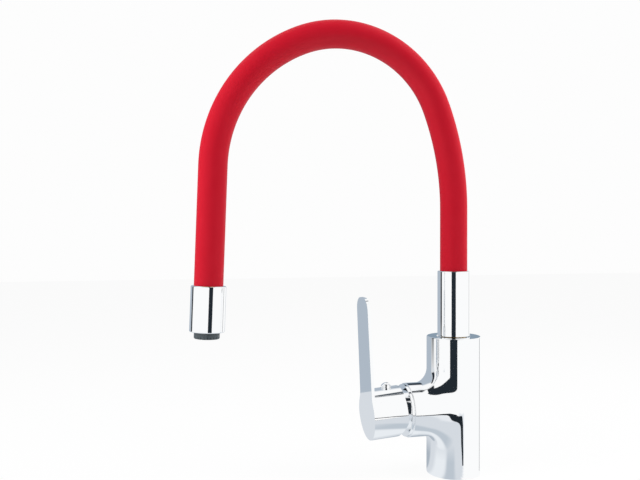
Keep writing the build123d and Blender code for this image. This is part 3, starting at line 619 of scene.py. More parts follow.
def settle_on_skin(piece, rounds=6):
    """Move every vertex onto the casting's exact skin, by at most a millimetre in each round."""
    points = mesh_points(piece)
    for _ in range(rounds):
        gap, slope = skin_slope(points)
        points -= slope * np.clip(gap, -1 * mm, 1 * mm)[:, None]
    piece.data.vertices.foreach_set("co", points.ravel())
    piece.data.update()


def true_normals(piece):
    """Shade the casting's outside by its exact skin, so that reflections run clean; the bores keep their own."""
    choose(piece)
    bpy.ops.object.shade_smooth_by_angle(angle=smooth_angle)
    data = piece.data
    points = mesh_points(piece)
    gap, slope = skin_slope(points, ends=True)
    corners = np.zeros(len(data.loops), int)
    data.loops.foreach_get("vertex_index", corners)
    normals = np.zeros(len(data.loops) * 3)
    data.corner_normals.foreach_get("vector", normals)
    normals = normals.reshape(-1, 3)
    exact = slope[corners]
    near_skin = np.abs(gap[corners]) < 2 * hairline
    outside = near_skin & (np.einsum("ij,ij->i", exact, normals) > cos(smooth_angle))
    normals[outside] = exact[outside]
    data.normals_split_custom_set(normals.tolist())


def extend_open_end(piece, axis, plane_height, corners):
    """Draw the casting's open end at a plane through the stations of an outline, and close the last ring."""
    origin, direction = Vector(axis[1]), axis[2]
    select_where(piece, "edges", lambda edge: edge.is_boundary and all(
        abs((v.co - origin).dot(direction) - plane_height) < clearance for v in edge.verts))
    previous = corners[0][:2]
    for station in rounded(corners)[1:]:
        draw_ring_to(station, previous, axis)
        previous = station
    bpy.ops.mesh.edge_face_add()


class FAUCET_OT_casting(bpy.types.Operator):
    """Model the body casting: an upright column and a side barrel that flow into each other"""
    bl_idname = "faucet.casting"
    bl_label = "Body casting"

    def execute(self, context):
        sizes = context.scene.faucet_body
        spare = 4 * mm  # beyond each end of the rough bars, whose ends are then cut off
        trim = 3 * mm  # from each true end, where the rough skin stops and the drawn end begins
        level = sizes.barrel_level
        piece = pillar("mixer_body_casting", sizes.column_radius, -spare, sizes.column_height + spare)
        barrel = pillar("barrel", sizes.barrel_radius, 0, sizes.barrel_reach + spare)
        place(barrel, barrel_matrix())
        combine(piece, barrel, "UNION")
        apply_modifier(piece, "REMESH", mode="VOXEL", voxel_size=sizes.skin_grain)
        settle_on_skin(piece)
        trims = (
            ((0, 0, sizes.column_height - trim), (0, 0, 1)),
            ((0, 0, trim), (0, 0, -1)),
            ((trim - sizes.barrel_reach, 0, level), (-1, 0, 0)),
        )
        choose(piece)
        for point, direction in trims:
            bpy.ops.object.mode_set(mode="EDIT")
            bpy.ops.mesh.select_all(action="SELECT")
            bpy.ops.mesh.bisect(plane_co=point, plane_no=direction, clear_outer=True, threshold=2 * hairline)
            bpy.ops.object.mode_set(mode="OBJECT")
        settle_on_skin(piece)
        bpy.ops.object.mode_set(mode="EDIT")
        outer, top = sizes.column_radius, sizes.column_height
        extend_open_end(piece, upright, top - trim, [
            (outer, top - trim, 0), (outer, top, sizes.column_rim), (sizes.gland_radius, top, 0.3 * mm),
            (sizes.gland_radius, top - sizes.gland_depth, 0)])
        shank_bore = sizes.shank_radius + clearance
        extend_open_end(piece, upright, trim, [
            (outer, trim, 0), (outer, 0, sizes.foot_rim), (sizes.seal_outer, 0, 0),
            (sizes.seal_outer, sizes.seal_depth, 0), (sizes.seal_inner, sizes.seal_depth, 0),
            (sizes.seal_inner, 0, 0), (shank_bore, 0, 0), (shank_bore, sizes.shank_recess, 0)])
        outward = (0, (0, 0, level), Vector((-1, 0, 0)))
        reach = sizes.barrel_reach
        extend_open_end(piece, outward, reach - trim, [
            (sizes.barrel_radius, reach - trim, 0), (sizes.barrel_radius, reach, sizes.barrel_rim),
            (sizes.barrel_bore, reach, 0), (sizes.barrel_bore, reach - sizes.barrel_bore_depth, 0)])
        bpy.ops.object.mode_set(mode="OBJECT")
        recalculate(piece)
        for side in (-1, 1):
            recess = sizes.shank_recess
            inlet = pillar("inlet", sizes.inlet_radius, recess - 1 * mm, recess + sizes.inlet_depth, 48)
            place(inlet, Matrix.Translation((0, side * sizes.inlet_spread, 0)))
            combine(piece, inlet, "DIFFERENCE")
        true_normals(piece)
        finish_piece(piece, finishes["chrome_plate"], "body", "chrome_plate", "mixer_body")
        return {"FINISHED"}


class FAUCET_OT_trim_ring(bpy.types.Operator):
    """Turn the band on the barrel's end, with its low shroud over the nut"""
    bl_idname = "faucet.trim_ring"
    bl_label = "Trim ring"

    def execute(self, context):
        sizes = context.scene.faucet_body
        start = sizes.barrel_reach
        front = start + sizes.ring_width
        end = front + sizes.shroud_rise
        inner = sizes.shroud_radius - sizes.shroud_wall
        piece = turned_piece("trim_ring_band", [
            (sizes.ring_bore, start, 0), (sizes.ring_radius, start, 0.2 * mm),
            (sizes.ring_radius, front, sizes.ring_rim), (sizes.shroud_radius, front, 0),
            (sizes.shroud_radius, end, sizes.shroud_rim), (sizes.shroud_bore, end, 0),
            (sizes.shroud_bore, end - sizes.shroud_wall, 0), (inner, end - sizes.shroud_wall, 0),
            (inner, front - sizes.ring_web, 0), (sizes.ring_bore, front - sizes.ring_web, 0)])
        place(piece, barrel_matrix())
        smooth(piece)
        finish_piece(piece, finishes["chrome_plate"], "body", "chrome_plate", "trim_ring")
        return {"FINISHED"}


def lever_outline(sizes):
    """Key points of half the blade's outline: where its flare touches the hub and the side, the centres of the
    flare and of the tip's corner, and the side's outward direction. This half has y above zero."""
    hub, tip = sizes.hub_radius, sizes.blade_height
    side = Vector((tip, (sizes.tip_width - sizes.root_width) / 2)).normalized()
    normal = Vector((-side.y, side.x))
    start = Vector((0, sizes.root_width / 2))
    offset = start + normal * sizes.flare
    spread = offset.dot(normal)
    run = (max((hub + sizes.flare) ** 2 - spread ** 2, 0)) ** 0.5
    flare_centre = normal * spread + side * run
    touch_hub = flare_centre.normalized() * hub
    touch_side = flare_centre - normal * sizes.flare
    corner_centre_y = sizes.tip_width / 2 - sizes.tip_corner
    corner_centre = Vector((tip - sizes.tip_corner, corner_centre_y))
    return touch_hub, flare_centre, touch_side, corner_centre, normal


def arc_points(centre, start, end, steps):
    """Points on the shorter arc round a centre."""
    a, b = start - centre, end - centre
    sweep = atan2(a.x * b.y - a.y * b.x, a.dot(b))
    return [centre + Matrix.Rotation(sweep * k / steps, 2) @ a for k in range(steps + 1)]


class FAUCET_OT_lever(bpy.types.Operator):
    """Model the lever: a front plate cut to its outline, with the hub's skirt and boss drawn out of its back"""
    bl_idname = "faucet.lever"
    bl_label = "Lever"

    def execute(self, context):
        sizes = context.scene.faucet_lever
        hub = sizes.hub_radius
        touch_hub, flare_centre, touch_side, corner_centre, normal = lever_outline(sizes)
        corner_side = corner_centre + normal * sizes.tip_corner
        corner_top = corner_centre + Vector((sizes.tip_corner, 0))
        flare = arc_points(flare_centre, touch_hub, touch_side, steps=10)
        corner = arc_points(corner_centre, corner_side, corner_top, steps=14)
        half = flare + corner
        blade = half + [Vector((p.x, -p.y)) for p in reversed(half)]
        opening = atan2(touch_hub.y, touch_hub.x)
        upper_count, lower_count = 20, 108
        closing = [Vector((hub * cos(a), hub * sin(a))) for a in np.linspace(-opening, opening, upper_count + 1)]
        lower = [Vector((hub * cos(a), hub * sin(a)))
                 for a in np.linspace(opening, 2 * pi - opening, lower_count + 1)]

        deselect_all()
        bpy.ops.mesh.primitive_circle_add(vertices=len(blade) + upper_count - 1, radius=hub, fill_type="NGON")
        piece = new_piece("lever_handle_blade")
        outline = blade + closing[1:-1]
        for vertex, point in zip(piece.data.vertices, outline):
            vertex.co = (point.x, point.y, sizes.hub_front)
        bpy.ops.mesh.primitive_circle_add(vertices=lower_count + upper_count, radius=hub, fill_type="NGON")
        disc = new_piece("disc")
        for vertex, point in zip(disc.data.vertices, lower[:-1] + closing[:-1]):
            vertex.co = (point.x, point.y, sizes.hub_front)
        piece.select_set(True)
        bpy.context.view_layer.objects.active = piece
        bpy.ops.object.join()
        recalculate(piece)

        choose(piece)
        bpy.ops.object.mode_set(mode="EDIT")
        bpy.ops.mesh.select_all(action="SELECT")
        bpy.ops.mesh.extrude_region_move(TRANSFORM_OT_translate={"value": (0, 0, -sizes.plate)})
        bpy.ops.mesh.select_all(action="SELECT")
        bpy.ops.mesh.normals_make_consistent(inside=False)
        back = sizes.hub_front - sizes.plate
        inner = hub - sizes.hub_wall

        def flat_at(height, radius):
            """A test for level faces at a height that lie within a radius."""
            return lambda face: abs(face.calc_center_median().z - height) < hairline and abs(
                face.normal.z) > 0.9 and all(v.co.xy.length < radius + hairline for v in face.verts)

        select_where(piece, "faces", flat_at(back, hub))
        bpy.ops.mesh.inset(thickness=sizes.hub_wall, depth=0)
        select_where(piece, "faces", lambda face: flat_at(back, hub)(face) and any(
            v.co.xy.length > inner + 0.5 * sizes.hub_wall for v in face.verts))
        bpy.ops.mesh.extrude_region_move(TRANSFORM_OT_translate={"value": (0, 0, -sizes.hub_rear - back)})
        select_where(piece, "faces", flat_at(back, inner))
        bpy.ops.mesh.inset(thickness=inner - sizes.boss_radius, depth=0)
        select_where(piece, "faces", flat_at(back, sizes.boss_radius))
        bpy.ops.mesh.extrude_region_move(TRANSFORM_OT_translate={"value": (0, 0, sizes.boss_rear - back)})
        self.relieve_and_lean(piece, sizes)
        return {"FINISHED"}

    def relieve_and_lean(self, piece, sizes):
        """Cut the hub's foot clear of the ring, lean the blade back, round the front edge and drill for the plug."""
        hub = sizes.hub_radius
        full = sizes.tilt + sizes.open_tilt
        body = bpy.context.scene.faucet_body
        ring_front = body.barrel_reach + body.ring_width + sizes.ring_gap + joint_place("lever_flow").x
        bpy.ops.mesh.select_all(action="SELECT")
        bpy.ops.mesh.bisect(
            plane_co=(0, 0, ring_front / cos(full)), plane_no=(-sin(full), 0, -cos(full)),
            use_fill=True, clear_outer=True, threshold=0.001 * mm)
        bpy.ops.mesh.select_all(action="SELECT")
        bpy.ops.mesh.bisect(plane_co=(0, 0, 0), plane_no=(1, 0, 0), threshold=0.001 * mm)
        bpy.ops.object.mode_set(mode="OBJECT")
        slope = tan(sizes.blade_lean)
        back = sizes.hub_front - sizes.plate
        for vertex in piece.data.vertices:
            if vertex.co.x > 0 and vertex.co.z > back + 0.5 * sizes.plate:
                vertex.co.z -= vertex.co.x * slope
            elif vertex.co.x > hub and vertex.co.z > back - 0.5 * sizes.plate:
                share = (vertex.co.x - hub) / (sizes.blade_height - hub)
                thinned = sizes.hub_front - sizes.blade_height * slope - sizes.tip_thickness
                vertex.co.z += share * (thinned - back)
        choose(piece)
        bpy.ops.object.mode_set(mode="EDIT")

        def on_front_rim(edge):
            """The edge between the front face and the side wall."""
            if len(edge.link_faces) != 2:
                return False
            facing = sorted(abs(face.normal.z) for face in edge.link_faces)
            return facing[0] < 0.5 and facing[1] > 0.9 and all(
                v.co.z > back + 0.3 * sizes.plate - max(v.co.x, 0) * slope for v in edge.verts)

        select_where(piece, "edges", on_front_rim)
        bpy.ops.mesh.bevel(offset=sizes.rim, segments=4, profile=0.5, affect="EDGES", clamp_overlap=True)
        bpy.ops.object.mode_set(mode="OBJECT")
        hole = pillar("plug_hole", sizes.plug_radius + 0.08 * mm, hub - sizes.plug_depth, hub + 2 * mm, 48)
        place(hole, Matrix.Translation((0, 0, sizes.plug_station)) @ axis_matrix((0, 0, 0), (1, 0, 0), (0, 0, 1)))
        combine(piece, hole, "DIFFERENCE")
        place(piece, lever_matrix())
        smooth(piece)
        finish_piece(piece, finishes["chrome_plate"], "lever", "chrome_plate", "lever_handle")


class FAUCET_OT_cover_plug(bpy.types.Operator):
    """Turn the small domed plug over the lever's screw"""
    bl_idname = "faucet.cover_plug"
    bl_label = "Screw cover plug"

    def execute(self, context):
        sizes = context.scene.faucet_lever
        top = sizes.hub_radius + sizes.plug_rise
        foot = sizes.hub_radius - sizes.plug_depth
        ball = (sizes.plug_radius ** 2 + sizes.plug_dome ** 2) / (2 * sizes.plug_dome)
        outline = [(0, foot, 0), (sizes.plug_radius, foot, 0)]
        reach = atan2(sizes.plug_radius, ball - sizes.plug_dome)
        outline += [(ball * sin(reach * share), top - ball * (1 - cos(reach * share)), 0)
                    for share in np.linspace(1, 0.06, 12)]
        outline.append((0, top, 0))
        piece = turned_piece("screw_cover_dome", outline, 64)
        place(piece, lever_matrix() @ Matrix.Translation((0, 0, sizes.plug_station))
              @ axis_matrix((0, 0, 0), (1, 0, 0), (0, 0, 1)))
        smooth(piece)
        finish_piece(piece, finishes["chrome_plate"], "lever", "chrome_plate", "screw_cover_plug")
        return {"FINISHED"}


class FAUCET_OT_ferrule(bpy.types.Operator):
    """Turn the ferrule that holds the foot of the sleeve"""
    bl_idname = "faucet.ferrule"
    bl_label = "Ferrule"

    def execute(self, context):
        sizes = context.scene.faucet_spout
        low, high = cad_low("spout_ferrule")[2], cad_high("spout_ferrule")[2]
        outer, inner = sizes.ferrule_radius, sizes.ferrule_radius - sizes.ferrule_wall
        collar = low + sizes.ferrule_collar
        piece = turned_piece("spout_ferrule_tube", [
            (sizes.ferrule_neck, low, 0), (outer, low, sizes.ferrule_rim), (outer, high, sizes.ferrule_rim),
            (inner, high, 0.4 * mm), (inner, collar, 0), (sizes.ferrule_neck, collar, 0)])
        smooth(piece)
        finish_piece(piece, finishes["chrome_plate"], "spout_foot", "chrome_plate", "spout_ferrule")
        return {"FINISHED"}


def route_stretches(sizes):
    """The spout's route as (length, radius) stretches; a straight one has no radius."""
    arcs = ((sizes.first_radius, sizes.first_turn), (sizes.crown_radius, sizes.crown_turn),
            (sizes.last_radius, sizes.last_turn))
    return [(sizes.riser, 0)] + [(radius * turn, radius) for radius, turn in arcs] + [(sizes.tail, 0)]


def route_length(sizes):
    """Length of the whole route."""
    return sum(stretch for stretch, _ in route_stretches(sizes))


def route_state(sizes, travel):
    """Place and heading (radians from +X) on the route; straight before its start and past its end."""
    x, z, heading = 0.0, sizes.sleeve_start, pi / 2
    stretches = route_stretches(sizes)
    left = travel
    for number, (stretch, radius) in enumerate(stretches):
        step = left if number == len(stretches) - 1 else min(left, stretch)
        if radius:
            turn = step / radius
            x += radius * (sin(heading + turn) - sin(heading))
            z -= radius * (cos(heading + turn) - cos(heading))
            heading += turn
        else:
            x += step * cos(heading)
            z += step * sin(heading)
        left -= step
        if left <= 0:
            break
    return x, z, heading


def route_place(sizes, travel):
    """A point on the route."""
    x, z, _ = route_state(sizes, travel)
    return Vector((x, 0, z))


def route_matrix(sizes, travel):
    """A frame on the route: Z along the water's way."""
    x, z, heading = route_state(sizes, travel)
    return axis_matrix((x, 0, z), (cos(heading), 0, sin(heading)), (sin(heading), 0, -cos(heading)))


def route_marks(sizes, start, end):
    """Ends of the stretches that lie between two travels, with the radius of each part."""
    marks, travel = [], 0.0
    stretches = route_stretches(sizes)
    for number, (stretch, radius) in enumerate(stretches):
        last = number == len(stretches) - 1
        low = max(start, travel) if number else start
        high = min(end, travel + stretch) if not last else end
        if high - low > hairline:
            marks.append((low, high, radius))
        travel += stretch
    return marks


def tube_along_route(name, sizes, radius, wall, stops, segments=72):
    """A tube wall drawn along the route: straight parts are extruded, arcs are spun about their centres.

    It has a ring at each of the stops, which are lengths along the route; the first and the last are its ends."""
    x, z, heading = route_state(sizes, stops[0])
    deselect_all()
    bpy.ops.mesh.primitive_circle_add(
        vertices=segments, radius=radius, location=(x, 0, z), rotation=(0, pi / 2 - heading, 0))
    piece = new_piece(name)
    bpy.ops.object.transform_apply(location=True, rotation=True, scale=True)
    bpy.ops.object.mode_set(mode="EDIT")
    bpy.ops.mesh.select_all(action="SELECT")
    marks = [mark for start, end in zip(stops, stops[1:]) for mark in route_marks(sizes, start, end)]
    for low, high, arc_radius in marks:
        steps = max(3, round((high - low) / sizes.ring_step))
        x, z, heading = route_state(sizes, low)
        if arc_radius:
            centre = (x - arc_radius * sin(heading), 0, z + arc_radius * cos(heading))
            bpy.ops.mesh.spin(steps=steps, angle=(high - low) / arc_radius, center=centre, axis=(0, 1, 0))
        else:
            step = Vector((cos(heading), 0, sin(heading))) * ((high - low) / steps)
            for _ in range(steps):
                bpy.ops.mesh.extrude_region_move(TRANSFORM_OT_translate={"value": step})
    bpy.ops.object.mode_set(mode="OBJECT")
    recalculate(piece)
    apply_modifier(piece, "SOLIDIFY", thickness=wall, offset=-1, use_rim=True)
    choose(piece)
    bpy.ops.object.shade_smooth_by_angle(angle=smooth_angle)
    return piece


def spout_bodies():
    """The spout's chain of bodies, from the ferrule to the nozzle."""
    return ["spout_foot"] + [f"spout_{number}" for number in range(1, 9)] + ["nozzle"]


def round_lip(piece, sizes, radius, wall, joint, side):
    """Draws in the tube's outside past a joint as a ball about it, so that it slides within the next piece's wall.

    side is 1 where the lip lies after the joint, and -1 where it lies before it."""
    x, z, heading = route_state(sizes, joint)
    centre, forward = Vector((x, 0, z)), Vector((cos(heading), 0, sin(heading))) * side
    for vertex in piece.data.vertices:
        ahead = (vertex.co - centre).dot(forward)
        outwards = vertex.co - centre - forward * ahead
        on_outside = radius - wall / 2 < outwards.length < radius + wall
        if 0 < ahead < radius and on_outside:
            vertex.co = centre + forward * ahead + outwards.normalized() * sqrt(radius ** 2 - ahead ** 2)


def split_tube(name, sizes, radius, wall, start, joint, end, bodies, cut_lead):
    """A soft tube in two halves that ride on the bodies before and after a joint.

    Cut at the joint, they have round lips, and a thinner wall leaves room for the core's cup. A hose inside the
    core is cut cut_lead before the joint instead, at the mouth of the core's ball, which needs the slit to turn."""
    if cut_lead:
        cut = joint - cut_lead
        halves = [tube_along_route(name, sizes, radius, wall, (start, cut)),
                  tube_along_route(name + "_far", sizes, radius, wall, (cut + sizes.hose_slit, end))]
    else:
        lip, thin_wall = radius * sin(sizes.lip_angle), wall * split_wall_share
        halves = [tube_along_route(name, sizes, radius, thin_wall, (start, joint, joint + lip)),
                  tube_along_route(name + "_far", sizes, radius, thin_wall, (joint - lip, joint, end))]
        for half, side in zip(halves, (1, -1)):
            round_lip(half, sizes, radius, thin_wall, joint, side)
    for half, body in zip(halves, bodies):
        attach(half, body)
    return halves


def lay_soft_tube(stem, sizes, radius, wall, lead, tail, cut_lead, material, node):
    """A soft tube along the whole spout: one piece across each joint of the core.

    Two of them are split there instead."""
    bodies = spout_bodies()
    whole = route_length(sizes)
    joints = [sizes.first_joint + sizes.joint_pitch * k for k in range(len(bodies) - 1)]
    for k, joint in enumerate(joints):
        first, last = k == 0, k == len(joints) - 1
        start = -lead if first else joint - sizes.joint_pitch / 2
        end = whole + tail if last else joint + sizes.joint_pitch / 2
        name = f"{stem}_{k + 1}"
        if k in split_joints:
            halves = split_tube(name, sizes, radius, wall, start, joint, end, bodies[k:k + 2], cut_lead)
        else:
            halves = [tube_along_route(name, sizes, radius, wall, (start, end))]
            bend_start = joint - (sizes.end_reach if first else sizes.bend_reach)
            bend_end = joint + (sizes.end_reach if last else sizes.bend_reach)
            ways = [(bodies[k], route_place(sizes, bend_start)), (bodies[k + 1], route_place(sizes, bend_end))]
            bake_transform(halves[0])
        for piece in halves:
            piece.data.materials.append(material)
            # the photograph's chrome shows no red, so the spout stays out of its reflections
            piece.visible_glossy = False
            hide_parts(node)


class FAUCET_OT_sleeve(bpy.types.Operator):
    """Draw the silicone sleeve along the spout's route"""
    bl_idname = "faucet.sleeve"
    bl_label = "Silicone sleeve"

    def execute(self, context):
        sizes = context.scene.faucet_spout
        lay_soft_tube("silicone_skin", sizes, sizes.sleeve_radius, sizes.sleeve_wall, 0, 0, 0,
                      finishes["red_silicone"], "silicone_sleeve")
        return {"FINISHED"}


class FAUCET_OT_hose(bpy.types.Operator):
    """Draw the inner water hose along the same route"""
    bl_idname = "faucet.hose"
    bl_label = "Water hose"

    def execute(self, context):
        sizes = context.scene.faucet_spout
        lay_soft_tube("inner_hose", sizes, sizes.hose_radius, sizes.hose_wall, sizes.hose_lead, sizes.hose_tail,
                      sizes.hose_cut, finishes["clear_hose"], "water_hose")
        return {"FINISHED"}


class FAUCET_OT_nozzle(bpy.types.Operator):
    """Turn the nozzle's shell and the aerator's notched ring"""
    bl_idname = "faucet.nozzle"
    bl_label = "Nozzle"

    def execute(self, context):
        sizes = context.scene.faucet_spout
        seat = route_matrix(sizes, route_length(sizes))
        top = -sizes.sleeve_insert
        bottom = top + sizes.nozzle_length
        outer, inner = sizes.nozzle_radius, sizes.nozzle_radius - sizes.nozzle_wall
        throat = sizes.sleeve_radius + sizes.nozzle_throat
        shell = turned_piece("nozzle_shell_tube", [
            (throat, top, 0.4 * mm), (outer, top, sizes.nozzle_rim), (outer, bottom, sizes.nozzle_rim),
            (inner, bottom, 0.2 * mm), (inner, top + sizes.nozzle_wall, 0), (throat, top + sizes.nozzle_wall, 0)])
        place(shell, seat)
        smooth(shell)
        finish_piece(shell, finishes["chrome_plate"], "nozzle", "chrome_plate", "nozzle_shell")
        self.make_aerator_ring(sizes, seat, bottom)
        return {"FINISHED"}

    def make_aerator_ring(self, sizes, seat, shell_bottom):
        """Turn the aerator's ring and sink grip notches into its lower edge."""
        outer, inner = sizes.aerator_radius, sizes.aerator_radius - sizes.aerator_wall
        top, bottom = shell_bottom - sizes.aerator_seat, shell_bottom + sizes.aerator_drop
        ring = turned_piece("aerator_ring", [
            (inner, top, 0), (outer, top, 0), (outer, bottom, sizes.aerator_rim), (inner, bottom, 0)], 144, 4)
        choose(ring)
        bpy.ops.object.mode_set(mode="EDIT")

        def in_notch(face):
            """A face of the lower edge that a grip notch takes."""
            middle = face.calc_center_median()
            turn = atan2(middle.y, middle.x) / (2 * pi) * sizes.notch_count % 1
            on_edge = middle.z > bottom - sizes.aerator_rim and middle.xy.length > inner + clearance
            return turn < sizes.notch_share and on_edge

        select_where(ring, "faces", in_notch)
        bpy.ops.mesh.extrude_region_move(TRANSFORM_OT_translate={"value": (0, 0, -sizes.notch_depth)})
        bpy.ops.object.mode_set(mode="OBJECT")
        recalculate(ring)
        place(ring, seat)
        smooth(ring)
        finish_piece(ring, finishes["dark_plastic"], "nozzle", "dark_plastic", "aerator_housing")


class FAUCET_OT_inner_parts(bpy.types.Operator):
    """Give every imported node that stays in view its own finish"""
    bl_idname = "faucet.inner_parts"
    bl_label = "Inner parts"

    def execute(self, context):
        for entry in frame["record"]["subparts"]:
            node = frame["nodes"][entry["node"]]
            node.data.materials.clear()
            node.data.materials.append(finishes[entry["material_slot"]])
        return {"FINISHED"}


tent_front = (-0.4206, -0.9072, 0)  # level directions from the column: towards the camera,
tent_right = (0.9072, -0.4206, 0)  # and to the camera's right
tent_radius = 4.0
tent_level = 0.1
table_size = (0.84, 0.66)
table_middle = (-0.07, -0.03)
table_reach = 255 * mm  # the column's axis to the table's front edge
seam_foot = (-3.6 * mm, -23.6 * mm, 0)  # the seam between the table's painted grey and white reflections starts here
rail_span, rail_middle, rail_end, rail_height = 0.34, -0.14, 0.03, 6 * mm
slot_width, slot_spread, slot_spread_from = 0.185, 0.42, 0.16  # the tent's slot widens above a share of its height
slot_shift, slot_lean, slot_lean_from = 0.006, 0.13, 0.12  # and leans to the camera's left in the same way
slot_height, slot_distance = 1.3, 0.35
# dark colour of the glowing strips that paint dark reflections on the chrome
dark_reflection_colour = "#20262C"
# a dark strip that only the chrome sees, painting a dark reflected line down the column and along the barrel
flag_plane = -50 * mm
# the flag's middle line and half width, as (x, z, half width) in millimetres, from its foot up and out to the left
flag_line = (
    (4.9, 4.0, 1.6), (4.1, 15.0, 2.4), (2.9, 24.0, 3.0), (2.4, 33.0, 3.2), (2.1, 40.0, 3.4), (0.6, 46.3, 3.5),
    (-3.5, 49.8, 2.6), (-9.0, 50.6, 1.8), (-15.0, 50.6, 1.3), (-21.0, 50.6, 1.0), (-27.0, 50.7, 0.9),
    (-36.0, 51.4, 0.9), (-50.0, 53.7, 0.9), (-80.0, 56.6, 0.9))
rim_line_from = (17.0 * mm, -16.9 * mm, 0)  # the painted dark reflection line for the column's right rim starts here


def inside(value, low, high, softness):
    """One between two limits, falling to zero over a soft edge."""
    return np.clip((value - low) / softness + 0.5, 0, 1) * np.clip((high - value) / softness + 0.5, 0, 1)


def bearing(points):
    """Azimuth of points round the column in degrees: zero towards the camera, growing to its right."""
    return np.degrees(np.arctan2(points @ np.array(tent_right), points @ np.array(tent_front)))


def paint(colours, share, hex_text):
    """Mix a colour over others by a share for each point."""
    share = np.clip(share, 0, 1)[:, None]
    colours[:] = colours * (1 - share) + np.array((*linear(hex_text), 1)) * share


def tent_cloth(directions):
    """Colour of the tent in each direction, all painted reflection for the chrome: white with dark gaps, and a grey
    wall at the back on the left.
    """
    azimuth = bearing(directions)
    rise = np.degrees(np.arcsin(np.clip(directions[:, 2], -1, 1)))
    colours = np.ones((len(directions), 4))
    # painted reflections: a grey wall, a dark gap, a thin dark line down the column's right rim, dark bands at the
    # back and dark patches overhead
    paint(colours, inside(azimuth, -200, -108, 3) * inside(rise, -24, 46, 10), "#B0BBC7")
    paint(colours, inside(azimuth, -107, -91, 3) * inside(rise, -9, 52, 6), "#252C34")
    paint(colours, inside(azimuth, 138.5, 142.5, 2) * inside(rise, -24, 4, 8), "#4A535B")
    back = inside(azimuth, 171, 190, 3) + inside(azimuth, -190, -175, 3)
    paint(colours, back * inside(rise, 3, 14, 5), "#8A9CAC")
    paint(colours, back * inside(rise, 14, 38, 6), "#343E49")
    paint(colours, inside(azimuth, -55, 40, 8) * inside(rise, 56, 95, 6), "#22282F")
    paint(colours, inside(azimuth, 108, 160, 6) * inside(rise, 68, 77, 2), "#4A535B")
    return colours


def table_cloth(points):
    """Colour of the table as the chrome sees it, all painted reflection: pale grey, with white to its right, bands
    near the column and a dark line for the column's right rim.
    """
    azimuth = bearing(points)
    from_seam = bearing(points - np.array(seam_foot))
    reach = np.hypot(points[:, 0], points[:, 1])
    colours = np.ones((len(points), 4))
    front = inside(points[:, 1], -table_reach, 1, 3 * mm)
    on_table = front * np.maximum(inside(from_seam, -400, 45.5, 1.5), inside(reach, -1, 23 * mm, 1 * mm))
    near = inside(reach, -1, 105 * mm, 60 * mm)
    # painted reflections: a pale grey table, lighter and darker bands near the column, and a dark line for the
    # column's right rim
    paint(colours, on_table, "#D8DDE3")
    paint(colours, on_table * near * inside(azimuth, -72, -26, 16), "#ECF0F4")
    paint(colours, on_table * near * inside(azimuth, -24, 4, 8), "#BFC8D1")
    paint(colours, on_table * near * inside(azimuth, -400, -102, 10), "#ADB7C1")
    paint(colours, on_table * inside(from_seam, 40, 60, 2), "#EBEEF2")
    paint(colours, inside(bearing(points - np.array(rim_line_from)), 138.5, 142.5, 2), "#38414A")
    return colours


